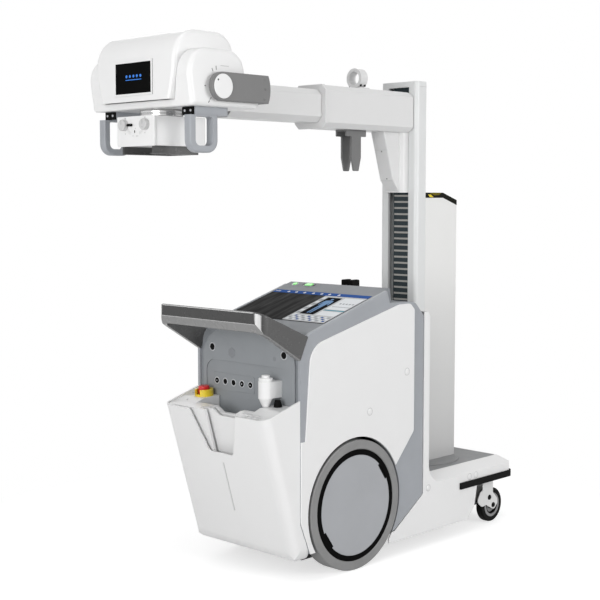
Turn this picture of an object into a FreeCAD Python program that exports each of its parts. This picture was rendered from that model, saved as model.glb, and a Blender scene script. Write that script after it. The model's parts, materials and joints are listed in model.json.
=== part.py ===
"""Mobile x-ray machine: wheeled console, turning column, telescopic arm and tube head.

Millimetres, +Z up, +X towards the casters, +Y to the machine's left. The sizes below are
given from the drive axle, the centre plane and the floor. The finished part is moved along
X so that its origin is the middle of its footprint on the floor.
"""
import FreeCAD, Part
from math import atan2, cos, hypot, pi, sin, tan
import os

V = FreeCAD.Vector

# Clearances
SEAT = 0.3          # between a piece and one that moves past it
FIT = 0.05          # radial, a shaft in its bore
GLIDE = 0.5         # a slider in its guide
SEAM = 1.0          # shadow gap between two casings

# Drive wheels
WHEEL_R = 252.0
WHEEL_FACE = 290.0      # outer face, from the centre plane
TYRE_WIDTH = 68.0
RING_R = 216.0
DISC_R = 194.0
DISC_STEP = 3.0         # disc and ring stand behind the tyre's face
NOTCH_LENGTH = 76.0
NOTCH_DEPTH = 12.0
AXLE_R = 15.0
ARCH_GAP = 12.0

# Console
FRONT_X = -300.0
HALF_WIDTH = 283.0
PANEL_THICK = 5.0
TRIM_THICK = 13.0
TRIM_LIP = 5.0
WALL = 4.0
PANEL_LOW_Z = 537.0         # white side panel: its step, shoulder, top and heel
PANEL_SHOULDER_Z = 886.0
PANEL_TOP_Z = 1009.0
PANEL_REAR_X = 348.0
PANEL_HEEL_Z = 494.0
TOP_REAR_X = 215.0
TOP_REAR_Z = 1077.0
TOP_SLOPE = 0.305
REAR_DECK_Z = 1014.0
REAR_X = 414.0
BACK_X = 450.0
FRONT_PLATE = 8.0
RECESS_DEPTH = 4.0
RECESS_HALF = 232.0
RECESS_TOP = 801.0
SOCKET_R = 9.5
SOCKET_PITCH = 47.0
SOCKET_COUNT = 5
SOCKET_FIRST_Y = 173.0
SOCKET_Z = 720.0
BUFFER_R = 13.0
BUFFER_Y = 197.0
BUFFER_Z = 850.0

# Display, in the sloping top
SCREEN_FRONT_X = -158.0
SCREEN_REAR_X = 120.0
SCREEN_HALF = 262.0
GLASS = 4.0
BUTTON_X = 186.0
POWER_Y = 222.0
POWER_R = 10.0
START_Y = 142.0
START_SIZE = 36.0
START_DEPTH = 20.0
KEY_TRAVEL = 3.0

# Push handle
HANDLE_FRONT_X = -508.0
HANDLE_TOP_Z = 1031.0
HANDLE_ROOT_X = -262.0
HANDLE_ROOT_Z = 924.0
HANDLE_LOW_X = -303.0
HANDLE_LOW_Z = 838.0
HANDLE_BAR_LOW_X = -484.0
HANDLE_BAR_LOW_Z = 948.0
HANDLE_WALL = 22.0
HANDLE_HALF = 285.0
HANDLE_CORNER = 48.0
HANDLE_EDGE = 5.0

# Detector bin
BIN_HALF = 281.0
BIN_TOP_Z = 637.0
BIN_LEAN = 0.294
BIN_FRONT_X = -482.0
BIN_BOTTOM_Z = 80.0
BIN_REAR_Z = 690.0
BIN_REAR_LOW_Z = 232.0
BIN_HEEL_X = -238.0
BIN_FOOT_CORNER = 60.0
BIN_WALL = 7.0
BIN_CORNER = 40.0
NOTCH_BOTTOM_Z = 478.0
NOTCH_HALF_LOW = 66.0
NOTCH_HALF_TOP = 128.0
SILL_RISE = 27.0        # of the leaves' top edge, from the bin's front to the console
SLOT_FLOOR_Z = 250.0
LEFT_DECK_Y = 157.0
RIGHT_DECK_Y = -157.0
RAMP_X = -426.0
DECK_X = -385.0         # the decks' ramp ends here
DECK_Z = 660.0
DECK_RISE = 4.0
DECK_DEPTH = 120.0

# Detector slots: start and end behind the bin's front face, right end, left end
SLOTS = [(BIN_WALL, 18, -244, 235), (29, 41, -237, 97), (51, 63, -161, 76)]

# Leaves between them: start and end behind the front face, opening in the top edge
LEAVES = [
    (18, 29, [(57, 430), (57, 720), (-165, 720), (-165, 430)]),
    (41, 51, [(12, 620), (102, 700), (-212, 700), (-80, 620)]),
    (63, 82, [(20, 628), (113, 700), (-196, 700), (-56, 628)]),
]

# Controls on the bin's decks
ESTOP_X = -339.0
ESTOP_Y = 203.0
ESTOP_R = 36.5
ESTOP_HEIGHT = 26.0
ESTOP_BUTTON_R = 22.0
ESTOP_RISE = 13.0
ESTOP_TRAVEL = 5.0
KNOB_X = -330.0
KNOB_Y = -196.0
KNOB_R = 16.5
KNOB_HEIGHT = 26.0
SWITCH_X = -354.0
SWITCH_Y = -156.0
SWITCH_R = 20.0
HOLSTER_R = 27.5
HOLSTER_TIP_R = 12.5
HOLSTER_CONE_Z = 692.0
HOLSTER_TOP_Z = 757.0
COLLAR_HEIGHT = 12.0
TRIGGER_R = 15.0
TRIGGER_SEAT = 8.0
TRIGGER_RISE = 10.0
TRIGGER_TRAVEL = 4.0

# Base
BASE_FRONT_X = 1040.0
BASE_HALF = 285.0
BASE_TOP_Z = 285.0
BASE_LOW_Z = 60.0
UNDERSIDE_Z = 196.0
DECK_HALF = 218.0
CHAMFER_DROP = 27.0
DECK_FRONT_X = 1018.0
BACK_FILLET = 80.0
DECK_PLATE = 4.0
SKIRT_REAR_X = 720.0
SKIRT_END_X = 764.0
SKIRT_END_Z = 110.0
BUMPER_HEIGHT = 27.0
BUMPER_THICK = 8.0
BUMPER_REAR_X = 660.0
BASE_CORNER = 30.0
BASE_WALL = 5.0
FRAME_PLATE = 10.0
FRAME_HALF = WHEEL_FACE - TYRE_WIDTH - 17
FRAME_START_X = -215.0

# Casters
CASTER_X = 950.0
CASTER_Y = 228.0
CASTER_R = 75.0
CASTER_WIDTH = 32.0
CASTER_TRAIL = 34.0
CASTER_RIM_R = 52.0
FORK_PLATE = 4.0
FORK_AXLE_R = 6.0
SWIVEL_STEM_R = 10.0

# Turntable and column
TURN_X = 727.0
TURN_R = 181.0
TURN_THICK = 7.0
STEM_R = 45.0
STEM_LENGTH = 62.0
COLUMN_FRONT_X = 585.0
COLUMN_DEPTH = 62.0
COLUMN_HALF = 98.6
COLUMN_HEAD = 22.0
COLUMN_CORNER = 18.0
COLUMN_LIP = 12.0
COLUMN_WALL = 6.0
SLOT_HALF = 55.0
SLOT_LOW_Z = 330.0
BELT_HALF = 45.0
BELT_THICK = 4.0
BAR_PITCH = 26.0
BAR_HEIGHT = 9.0
BAR_THICK = 4.0
BAR_LOW_Z = 390.0
TOWER_REAR_X = 868.0
TOWER_HALF = 98.0
TOWER_WALL = 5.0
TOWER_TOP_Z = 1448.0
TOWER_SLOPE_X = 768.0
TOWER_END_Z = 1415.0
PAD_THICK = 22.0
WEIGHT_LOW_Z = 335.0
WEIGHT_HEIGHT = 230.0

# Carriage and outer arm
ARM_LOW_Z = 1700.0
ARM_HEIGHT = 165.0
ARM_TOP_Z = ARM_LOW_Z + ARM_HEIGHT
COLUMN_SEAM_Z = ARM_TOP_Z + 26
COLUMN_TOP_Z = COLUMN_SEAM_Z + COLUMN_HEAD
ARM_HALF = 82.0
ARM_CHAMFER = 20.0
ARM_FRONT_X = 42.0
ARM_REAR_X = 580.0
ARM_WALL = 6.0
END_FRAME = 14.0
END_LIP = 3.0
CARRIAGE_LOW_Z = ARM_LOW_Z - 252
CARRIAGE_FRONT_X = 543.0
CARRIAGE_CORNER = 20.0
GUSSET_HALF = 36.0
GUSSET_TOP_X = 446.0
GUSSET_LOW_X = 507.0
GUSSET_LOW_Z = ARM_LOW_Z - 200
SLIDER_HALF = 84.0
SLIDER_THICK = 7.0
CABLE_RING_X = 320.0
CABLE_RING_R = 40.0
CABLE_BORE_R = 27.0
CABLE_RING_LENGTH = 40.0
CABLE_RING_RISE = 5.0
HOOK_X = 283.0
HOOK_FLANGE = 118.0
HOOK_FLANGE_DROP = 26.0
HOOK_TONGUE = 56.0
HOOK_TAPER_Z = ARM_LOW_Z - 110
HOOK_TIP_Z = ARM_LOW_Z - 165
HOOK_PLATE = 8.0
HOOK_GAP = 44.0
DOCK_TOP_Z = 1093.0

# Inner arm
INNER_HALF = 64.0
INNER_TOP_Z = ARM_TOP_Z - 17
INNER_LOW_Z = ARM_LOW_Z + 20
ARM_Z = (INNER_TOP_Z + INNER_LOW_Z) / 2
INNER_CHAMFER = 22.0
INNER_WALL = 5.0
INNER_FRONT_X = ARM_FRONT_X - 476
ARM_TRAVEL = 400.0
ARM_STOP = 22.0
PLUG_LENGTH = 60.0
ROLL_SHAFT_R = 30.0

# Yoke
YOKE_BACK_X = INNER_FRONT_X - 30
YOKE_REACH = 222.0
PIVOT_X = YOKE_BACK_X - YOKE_REACH
PIVOT_Z = ARM_Z + 16
YOKE_HALF = 300.0
YOKE_PLATE = 19.0
YOKE_RADIUS = 48.0
YOKE_SAG = 10.0
YOKE_WEB = 15.0
CAP_R = 41.0
CAP_THICK = 3.0
TILT_PIN_R = 24.0

# Tube head, given from the pivot
HEAD_FRONT_X = PIVOT_X - 142
COVER_REAR_X = PIVOT_X + 130
COVER_TOP_Z = PIVOT_Z + 192
COVER_LOW_Z = PIVOT_Z - 43
COVER_BEND_Z = PIVOT_Z + 50
BASE_COVER_HALF = YOKE_HALF - YOKE_PLATE - 8
COVER_HALF = BASE_COVER_HALF - 60
COVER_HALF_LOW = BASE_COVER_HALF - 85
COVER_WALL = 4.0
HEAD_BASE_FRONT_X = PIVOT_X - 129
HEAD_BASE_TOP_Z = PIVOT_Z + 127
HEAD_BASE_LOW_Z = PIVOT_Z - 67
HEAD_BASE_REAR_X = PIVOT_X + 196
HEAD_EDGE = 16.0
SCREEN_TOP_Z = PIVOT_Z + 89
SCREEN_LOW_Z = PIVOT_Z - 17
HEAD_SCREEN_HALF = 97.0
SCREEN_FRAME = 6.0
TUBE_R = 68.0
TUBE_LENGTH = 340.0
GRIP_X = PIVOT_X - 41
GRIP_HALF = 62.0
GRIP_LOW_Z = HEAD_BASE_LOW_Z - 153
GRIP_INNER_Y = BASE_COVER_HALF - 56
GRIP_DEPTH = 33.0
GRIP_LIMB = 23.0
GRIP_CORNER = 42.0
MOUNT_BAR_LOW_Z = HEAD_BASE_LOW_Z - 28
MOUNT_BAR_FRONT_X = PIVOT_X - 77
MOUNT_BAR_REAR_X = PIVOT_X + 68
MOUNT_BAR_Y = GRIP_INNER_Y - 35

# Collimator
COLL_FRONT_X = PIVOT_X - 135
COLL_REAR_X = PIVOT_X + 96
COLL_HALF = 101.0
COLL_TOP_Z = HEAD_BASE_LOW_Z - 26
COLL_LOW_Z = COLL_TOP_Z - 101
COLL_FACE = 8.0
COLL_SWIVEL_R = 72.0
COLL_SHAFT_R = 50.0
RAIL_LOW_Z = COLL_LOW_Z - 28
RAIL_HALF = 84.0
RAIL_WALL = 6.0
COLL_KNOB_Y = 58.0
COLL_KNOB_Z = COLL_TOP_Z - 29
COLL_KNOB_R = 19.0
COLL_KNOB_LENGTH = 18.0
KNOB_STEM_R = 4.0
LEVER_LENGTH = 30.0

# The footprint runs from the collimator's knobs to the front bumper
BACK_END_X = COLL_FRONT_X - COLL_KNOB_LENGTH
FRONT_END_X = BASE_FRONT_X + BUMPER_THICK
SHIFT = V(-(BACK_END_X + FRONT_END_X) / 2, 0, 0)

PLANES = {
    "xz": lambda u, v, w: V(u, w, v),
    "yz": lambda u, v, w: V(w, u, v),
    "xy": lambda u, v, w: V(u, v, w),
}


def box(x0, x1, y0, y1, z0, z1):
    return Part.makeBox(x1 - x0, y1 - y0, z1 - z0, V(x0, y0, z0))


def rod(axis, radius, centre, lo, hi, end_radius=None):
    """Cylinder along x, y or z, or a cone if end_radius is given; centre is its place across."""
    u, v = centre
    start, way = {
        "x": (V(lo, u, v), V(1, 0, 0)),
        "y": (V(u, lo, v), V(0, 1, 0)),
        "z": (V(u, v, lo), V(0, 0, 1)),
    }[axis]
    if end_radius is None:
        return Part.makeCylinder(radius, hi - lo, start, way)
    return Part.makeCone(radius, end_radius, hi - lo, start, way)


def tube(axis, radius, bore, centre, lo, hi):
    return rod(axis, radius, centre, lo, hi).cut(rod(axis, bore, centre, lo - 1, hi + 1))


def corner_arc(before, corner, after, radius):
    """Start, middle and end of the arc that rounds a corner of an outline."""
    a = hypot(before[0] - corner[0], before[1] - corner[1])
    b = hypot(after[0] - corner[0], after[1] - corner[1])
    one = ((before[0] - corner[0]) / a, (before[1] - corner[1]) / a)
    two = ((after[0] - corner[0]) / b, (after[1] - corner[1]) / b)
    angle = abs(atan2(one[0] * two[1] - one[1] * two[0], one[0] * two[0] + one[1] * two[1]))
    reach = radius / tan(angle / 2)
    half = (one[0] + two[0], one[1] + two[1])
    size = hypot(*half)
    depth = radius / sin(angle / 2) - radius
    start = (corner[0] + one[0] * reach, corner[1] + one[1] * reach)
    middle = (corner[0] + half[0] / size * depth, corner[1] + half[1] / size * depth)
    end = (corner[0] + two[0] * reach, corner[1] + two[1] * reach)
    return start, middle, end


def outline(plane, points, w):
    """Closed wire in a row plane; a point is (u, v) or (u, v, corner radius)."""
    put = PLANES[plane]
    stops = []
    edges = []
    for i, point in enumerate(points):
        before, after = points[i - 1], points[(i + 1) % len(points)]
        radius = point[2] if len(point) > 2 else 0
        if radius > 0:
            stops.append(corner_arc(before, point, after, radius))
        else:
            stops.append((point[:2], None, point[:2]))
    for i, (start, middle, end) in enumerate(stops):
        if middle:
            arc = Part.Arc(put(*start, w), put(*middle, w), put(*end, w))
            edges.append(arc.toShape())
        following = stops[(i + 1) % len(stops)][0]
        if hypot(following[0] - end[0], following[1] - end[1]) > 1e-4:
            edges.append(Part.makeLine(put(*end, w), put(*following, w)))
    return Part.Wire(edges)


def prism(plane, points, lo, hi):
    """Outline extruded along the plane's normal, from lo to hi."""
    way = PLANES[plane](0, 0, hi - lo)
    return Part.Face(outline(plane, points, lo)).extrude(way)


def round_box(plane, u0, u1, v0, v1, lo, hi, radius):
    points = [(u0, v0, radius), (u1, v0, radius), (u1, v1, radius), (u0, v1, radius)]
    return prism(plane, points, lo, hi)


def octagon(half, low, top, cut):
    return [(-half, low + cut), (-half + cut, low), (half - cut, low), (half, low + cut),
            (half, top - cut), (half - cut, top), (-half + cut, top), (-half, top - cut)]


def soften(shape, radius, pick):
    """Fillet of the edges that pick accepts."""
    chosen = [edge for edge in shape.Edges if pick(edge)]
    return shape.makeFillet(radius, chosen)


def on_plane(axis, values):
    """Picks the edges that lie wholly in a plane across the given axis."""
    def pick(edge):
        limits = edge.BoundBox
        low = {"x": limits.XMin, "y": limits.YMin, "z": limits.ZMin}[axis]
        high = {"x": limits.XMax, "y": limits.YMax, "z": limits.ZMax}[axis]
        return any(abs(low - value) < 0.01 and abs(high - value) < 0.01 for value in values)
    return pick


def mirrored(shape):
    return shape.mirror(V(0, 0, 0), V(0, 1, 0))


def turned(shape, centre, axis, degrees):
    copy = shape.copy()
    copy.rotate(centre, axis, degrees)
    return copy


def top_z(x):
    """Height of the console's sloping top."""
    return TOP_REAR_Z - TOP_SLOPE * (TOP_REAR_X - x)


def sill_z(x):
    """Height of the plane in which the bin's leaves end."""
    return BIN_TOP_Z + SILL_RISE * (x - BIN_FRONT_X) / (FRONT_X - BIN_FRONT_X)


def arch(reach):
    """Round space for a drive wheel, right through the machine's side."""
    return rod("y", WHEEL_R + reach, (0, WHEEL_R), -WHEEL_FACE - 20, WHEEL_FACE + 20)


# Drive wheels

def tyre():
    face = WHEEL_FACE
    body = tube("y", WHEEL_R, RING_R, (0, WHEEL_R), face - TYRE_WIDTH, face)
    return body.makeChamfer(3, [e for e in body.Edges if on_plane("y", [face, face - TYRE_WIDTH])(e)])


def notch_cutter(gap):
    """The two steps in the hub disc's rim, opposite each other."""
    centre = V(0, 0, WHEEL_R)
    half = NOTCH_LENGTH / 2 - gap
    block = box(DISC_R - NOTCH_DEPTH + gap, DISC_R + 20, WHEEL_FACE - DISC_STEP - 10, WHEEL_FACE,
                WHEEL_R - half, WHEEL_R + half)
    upper = turned(block, centre, V(0, 1, 0), -35)
    lower = turned(block, centre, V(0, 1, 0), 145)
    return upper.fuse(lower)


def wheel_ring():
    face = WHEEL_FACE - DISC_STEP
    ring = tube("y", RING_R - SEAT, DISC_R + SEAT, (0, WHEEL_R), face - 10, face)
    keys = notch_cutter(SEAT).common(rod("y", DISC_R + 4, (0, WHEEL_R), face - 10, face))
    return ring.fuse(keys).removeSplitter()


def hub_disc():
    face = WHEEL_FACE - DISC_STEP
    inner = WHEEL_FACE - TYRE_WIDTH
    disc = rod("y", DISC_R, (0, WHEEL_R), face - 10, face + 1)
    disc = disc.cut(notch_cutter(0))
    web = rod("y", RING_R - SEAT, (0, WHEEL_R), face - 22, face - 10)
    hub = rod("y", 45, (0, WHEEL_R), inner, face - 22)
    wheel = disc.fuse([web, hub]).removeSplitter()
    return wheel.cut(rod("y", AXLE_R + FIT, (0, WHEEL_R), inner - 1, face - 30))


# Console

def bin_rear_x(z):
    """Rear edge of the bin's lower end, where it reaches under the console."""
    return FRONT_X + (BIN_HEEL_X - FRONT_X) * (BIN_REAR_LOW_Z - z) / (BIN_REAR_LOW_Z - BIN_BOTTOM_Z)


def side_outline():
    """Edge of the grey trim, seen from the side."""
    rail_x = TOP_REAR_X - 30
    return [
        (FRONT_X, BIN_REAR_LOW_Z + 3), (FRONT_X, top_z(FRONT_X), 80), (rail_x, top_z(rail_x), 4),
        (TOP_REAR_X - 13, REAR_DECK_Z + 4, 4), (358, REAR_DECK_Z, 50), (REAR_X, 955, 20),
        (REAR_X, 225), (232, 106, 30), (200, 106), (0, WHEEL_R), (-200, 112),
        (bin_rear_x(112) + SEAM, 112), (FRONT_X + SEAM, BIN_REAR_LOW_Z),
    ]


def side_trim():
    inner = HALF_WIDTH - TRIM_THICK
    plate = prism("xz", side_outline(), inner, HALF_WIDTH).cut(arch(ARCH_GAP))
    plate = plate.cut(handle_arms())
    picked = on_plane("y", [HALF_WIDTH])
    return soften(plate, TRIM_LIP, lambda e: picked(e) and e.BoundBox.ZMin > 500)


def side_panel():
    """White cover that wraps the wheel arch and stands proud of the grey trim."""
    points = [
        (FRONT_X, PANEL_LOW_Z), (FRONT_X + 22, PANEL_LOW_Z), (FRONT_X + 50, PANEL_SHOULDER_Z, 90),
        (PANEL_REAR_X - 95, PANEL_TOP_Z, 20), (PANEL_REAR_X - 26, PANEL_TOP_Z, 24),
        (PANEL_REAR_X, PANEL_TOP_Z - 25, 12), (PANEL_REAR_X, PANEL_HEEL_Z, 20),
        (PANEL_REAR_X - 112, PANEL_HEEL_Z - 124), (0, WHEEL_R), (-200, 112),
        (bin_rear_x(112) + SEAM, 112), (FRONT_X, BIN_REAR_LOW_Z + 3),
    ]
    plate = prism("xz", points, HALF_WIDTH, HALF_WIDTH + PANEL_THICK).cut(arch(ARCH_GAP))
    return soften(plate.cut(handle_arms()), 1.5, on_plane("y", [HALF_WIDTH + PANEL_THICK]))


def console_outline(inset):
    low = UNDERSIDE_Z + FRAME_PLATE
    front = FRONT_X + FRONT_PLATE + inset
    drop = inset * 1.05
    return [
        (front, low), (front, top_z(FRONT_X) - drop, 80 - inset),
        (TOP_REAR_X - inset, TOP_REAR_Z - drop, 6), (TOP_REAR_X + 7 - inset, REAR_DECK_Z - drop),
        (358, REAR_DECK_Z - drop, 50 - inset), (REAR_X - inset, 955, 20 - inset / 2),
        (REAR_X - inset, low),
    ]


def console_shell():
    """Grey housing between the side trims, open at the bottom, with the display's recess."""
    half = HALF_WIDTH - TRIM_THICK
    shell = prism("xz", console_outline(0), -half, half)
    hollow = prism("xz", console_outline(WALL + 6), -half + WALL, half - WALL)
    shell = shell.cut(hollow)
    shell = shell.cut(box(-400, REAR_X + 1, -half, half, 0, UNDERSIDE_Z + FRAME_PLATE))
    shell = shell.cut(arch(ARCH_GAP))
    shell = shell.cut(screen_block(0.0, GLASS))
    return shell.cut(button_pocket()).cut(handle_arms())


def screen_block(gap, depth):
    """The display's glass, lying in the sloping top."""
    x0, x1 = SCREEN_FRONT_X + gap, SCREEN_REAR_X - gap
    corners = [(x0, top_z(x0)), (x1, top_z(x1)), (x1, top_z(x1) - depth), (x0, top_z(x0) - depth)]
    half = min(SCREEN_HALF, HALF_WIDTH - TRIM_THICK - 2) - gap
    return prism("xz", corners, -half, half)


def display_glass():
    return screen_block(SEAT, GLASS)


def tilt_to_top(shape, x, y):
    """Leans an upright piece so that it stands square to the sloping top."""
    angle = -atan2(TOP_SLOPE, 1) * 180 / pi
    return turned(shape, V(x, y, top_z(x)), V(0, 1, 0), angle)


def button_caps():
    """Round power button and oblong start button, upright at the top's height."""
    z = top_z(BUTTON_X)
    power = rod("z", POWER_R, (BUTTON_X, POWER_Y), z - 5, z + KEY_TRAVEL)
    start = round_box("xy", BUTTON_X - START_DEPTH / 2, BUTTON_X + START_DEPTH / 2,
                      START_Y - START_SIZE / 2, START_Y + START_SIZE / 2,
                      z - 5, z + KEY_TRAVEL, 3)
    return power, start


def button_pocket():
    z = top_z(BUTTON_X)
    low = z - 5 - KEY_TRAVEL - SEAT
    power = rod("z", POWER_R + GLIDE, (BUTTON_X, POWER_Y), low, z + 20)
    start = round_box("xy", BUTTON_X - START_DEPTH / 2 - GLIDE, BUTTON_X + START_DEPTH / 2 + GLIDE,
                      START_Y - START_SIZE / 2 - GLIDE, START_Y + START_SIZE / 2 + GLIDE,
                      low, z + 20, 3 + GLIDE)
    return tilt_to_top(power, BUTTON_X, POWER_Y).fuse(tilt_to_top(start, BUTTON_X, START_Y))


def power_button():
    return tilt_to_top(button_caps()[0], BUTTON_X, POWER_Y)


def start_button():
    return tilt_to_top(button_caps()[1], BUTTON_X, START_Y)


def front_panel():
    """Operator's face: a raised plate with round shoulders and a recess for the sockets."""
    low = 235
    points = [(-252, low), (252, low), (252, top_z(FRONT_X) + 2, 110), (-252, top_z(FRONT_X) + 2, 110)]
    plate = prism("yz", points, FRONT_X, FRONT_X + FRONT_PLATE)
    plate = soften(plate, 3, lambda e: on_plane("x", [FRONT_X])(e) and e.BoundBox.ZMax > low + 1)
    recess = [(-RECESS_HALF, low - 1), (RECESS_HALF, low - 1), (RECESS_HALF, RECESS_TOP, 45),
              (-RECESS_HALF, RECESS_TOP, 45)]
    plate = plate.cut(prism("yz", recess, FRONT_X - 1, FRONT_X + RECESS_DEPTH))
    first, last = SOCKET_FIRST_Y, SOCKET_FIRST_Y - SOCKET_PITCH * (SOCKET_COUNT - 1)
    pad = round_box("yz", last - 22, first + 22, SOCKET_Z - 32, SOCKET_Z + 32,
                    FRONT_X + RECESS_DEPTH - 1.5, FRONT_X + RECESS_DEPTH, 8)
    plate = plate.fuse(pad).removeSplitter()
    for y, z, r in insert_places():
        plate = plate.cut(rod("x", r, (y, z), FRONT_X - 1, FRONT_X + FRONT_PLATE + 1))
    return plate


def insert_places():
    sockets = [(SOCKET_FIRST_Y - SOCKET_PITCH * i, SOCKET_Z, SOCKET_R) for i in range(SOCKET_COUNT)]
    buffers = [(side * BUFFER_Y, BUFFER_Z, BUFFER_R) for side in (1, -1)]
    return sockets + buffers


def front_inserts():
    """Row of sockets and the two rubber buffers that the raised handle guard meets."""
    pieces = []
    for y, z, r in insert_places():
        face = FRONT_X + 1 if z == SOCKET_Z else FRONT_X - 2
        plug = rod("x", r - SEAT, (y, z), face, FRONT_X + FRONT_PLATE)
        pieces.append(soften(plug, 1, on_plane("x", [face])))
    return Part.makeCompound(pieces)


def handle_profile(inset):
    return [
        (HANDLE_FRONT_X + inset, HANDLE_TOP_Z - inset, 6), (HANDLE_ROOT_X, HANDLE_ROOT_Z - inset),
        (HANDLE_LOW_X, HANDLE_LOW_Z + inset), (HANDLE_BAR_LOW_X + inset, HANDLE_BAR_LOW_Z + inset),
        (HANDLE_FRONT_X + 4 + inset, HANDLE_TOP_Z - 48 + inset, 8),
    ]


def handle_arms():
    """Space that the handle's two arms take in the console's front shoulders."""
    inner, outer = HANDLE_HALF - HANDLE_WALL, HANDLE_HALF + PANEL_THICK
    arm = prism("xz", handle_profile(0), inner, outer)
    return arm.fuse(mirrored(arm))


def push_handle():
    """U-shaped bar: two deep side arms and a slimmer grip across the front."""
    half = HANDLE_HALF
    bar = prism("xz", handle_profile(0), -half, half)
    outer = [(HANDLE_FRONT_X, -half, HANDLE_CORNER), (0, -half), (0, half),
             (HANDLE_FRONT_X, half, HANDLE_CORNER)]
    above = HANDLE_TOP_Z + 100
    bar = bar.common(prism("xy", outer, 0, above))
    edges = on_plane("y", [half, -half])
    bar = soften(bar, HANDLE_EDGE, lambda e: edges(e) and e.BoundBox.XLength > 150)
    inner_half = half - HANDLE_WALL
    radius = HANDLE_CORNER - HANDLE_WALL
    inner = [(HANDLE_FRONT_X + HANDLE_WALL, -inner_half, radius), (0, -inner_half),
             (0, inner_half), (HANDLE_FRONT_X + HANDLE_WALL, inner_half, radius)]
    return bar.cut(prism("xy", inner, 0, above))


# Detector bin

def bin_front_x(z):
    return BIN_FRONT_X + BIN_LEAN * (BIN_TOP_Z - z)


def bin_outline(inset):
    rear = FRONT_X + (inset > 0) * 50
    top = BIN_TOP_Z + (inset > 0) * 30
    low = BIN_BOTTOM_Z + inset
    return [
        (rear, BIN_REAR_Z + (inset > 0) * 80), (bin_front_x(top) + inset, top),
        (bin_front_x(low) + inset, low, 70 - inset), (BIN_HEEL_X + (inset > 0) * 60, low),
        (rear, BIN_REAR_LOW_Z),
    ]


def bin_form(inset):
    """The bin's outer or inner form: a leaning front with round upright corners."""
    half = BIN_HALF - inset
    body = prism("xz", bin_outline(inset), -half, half)
    radius = BIN_CORNER - inset
    top, low = BIN_TOP_Z + 200, BIN_BOTTOM_Z - 20
    corners = []
    for z in (top, low):
        x = bin_front_x(z) + inset
        corners.append(outline("xy", [(x, -half, radius), (100, -half), (100, half), (x, half, radius)], z))
    body = body.common(Part.makeLoft(corners, True, True))
    foot = BIN_FOOT_CORNER - inset
    across = [(-half, BIN_BOTTOM_Z + inset, foot), (half, BIN_BOTTOM_Z + inset, foot), (half, top), (-half, top)]
    return body.common(prism("yz", across, BIN_FRONT_X - 100, 0))


def notch():
    """Finger space in the front wall, wider at its mouth."""
    top = BIN_TOP_Z + 60
    spread = (NOTCH_HALF_TOP - NOTCH_HALF_LOW) / (BIN_TOP_Z - NOTCH_BOTTOM_Z)
    wide = NOTCH_HALF_LOW + spread * (top - NOTCH_BOTTOM_Z)
    return [(-NOTCH_HALF_LOW, NOTCH_BOTTOM_Z, 14), (NOTCH_HALF_LOW, NOTCH_BOTTOM_Z, 14),
            (wide, top), (-wide, top)]


def detector_bin():
    shell = bin_form(0).cut(bin_form(BIN_WALL))
    shell = shell.cut(prism("yz", notch(), BIN_FRONT_X - 80, FRONT_X - 90))
    groove = round_box("yz", -4, 4, 245, 443, bin_front_x(445) - 30, bin_front_x(445) + 60, 3.9)
    skin = bin_form(0).cut(bin_form(2))
    return shell.cut(groove.common(skin))


def bin_insert():
    """Leaves and packers that keep the detectors apart, and a control deck at each side."""
    half = BIN_HALF - BIN_WALL
    rear = LEAVES[-1][1]
    foot = wall_slab(BIN_WALL, rear, -half, half, BIN_BOTTOM_Z)
    pieces = [foot.common(box(-700, FRONT_X, -half, half, 0, SLOT_FLOOR_Z))]
    for start, end, right, left in SLOTS:
        pieces.append(wall_slab(start, end, -half, right, SLOT_FLOOR_Z))
        pieces.append(wall_slab(start, end, left, half, SLOT_FLOOR_Z))
    for start, end, opening in LEAVES:
        leaf = wall_slab(start, end, -half, half, SLOT_FLOOR_Z)
        pieces.append(leaf.cut(prism("yz", opening, -700, FRONT_X)))
    pieces += [deck(LEFT_DECK_Y, half), deck(-half, RIGHT_DECK_Y)]
    cavity = bin_form(BIN_WALL + SEAT).common(box(-700, FRONT_X, -half, half, 0, 1000))
    return Part.makeCompound([piece.common(cavity) for piece in pieces])


def wall_slab(start, end, y0, y1, low):
    """Plate that leans as the bin's front wall does, its top edge cut along the sill."""
    high = BIN_REAR_Z
    points = [(bin_front_x(low) + start, low), (bin_front_x(low) + end, low),
              (bin_front_x(high) + end, high), (bin_front_x(high) + start, high)]
    under = [(-700, 0), (FRONT_X + 200, 0), (FRONT_X + 200, sill_z(FRONT_X + 200)), (-700, sill_z(-700))]
    return prism("xz", points, y0, y1).common(prism("xz", under, y0, y1))


def deck(y0, y1):
    """Ramp up from the leaves and a platform in front of the console."""
    low = DECK_Z - DECK_DEPTH
    points = [(RAMP_X, low), (RAMP_X, sill_z(RAMP_X)), (DECK_X, DECK_Z), (FRONT_X, DECK_Z + DECK_RISE),
              (FRONT_X, low)]
    return prism("xz", points, y0, y1).cut(wall_slab(0, LEAVES[-1][1], y0, y1, low - 1))


def deck_z(x):
    return DECK_Z + DECK_RISE * (x - DECK_X) / (FRONT_X - DECK_X)


def lean_to_deck(shape, x, y):
    angle = -atan2(DECK_RISE, FRONT_X - DECK_X) * 180 / pi
    return turned(shape, V(x, y, deck_z(x)), V(0, 1, 0), angle)


def estop_collar():
    """Yellow guard ring with a cut-out towards the operator."""
    z = deck_z(ESTOP_X)
    ring = tube("z", ESTOP_R, ESTOP_BUTTON_R + 5, (ESTOP_X, ESTOP_Y), z + 4, z + ESTOP_HEIGHT)
    floor = rod("z", ESTOP_R, (ESTOP_X, ESTOP_Y), z, z + 4)
    ring = ring.fuse(floor).removeSplitter()
    ring = ring.cut(box(ESTOP_X - ESTOP_R - 1, ESTOP_X, ESTOP_Y - 14, ESTOP_Y + 14,
                        z + 8, z + ESTOP_HEIGHT + 1))
    ring = ring.cut(rod("z", 8 + FIT, (ESTOP_X, ESTOP_Y), z - 1, z + 5))
    return lean_to_deck(ring, ESTOP_X, ESTOP_Y)


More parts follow.
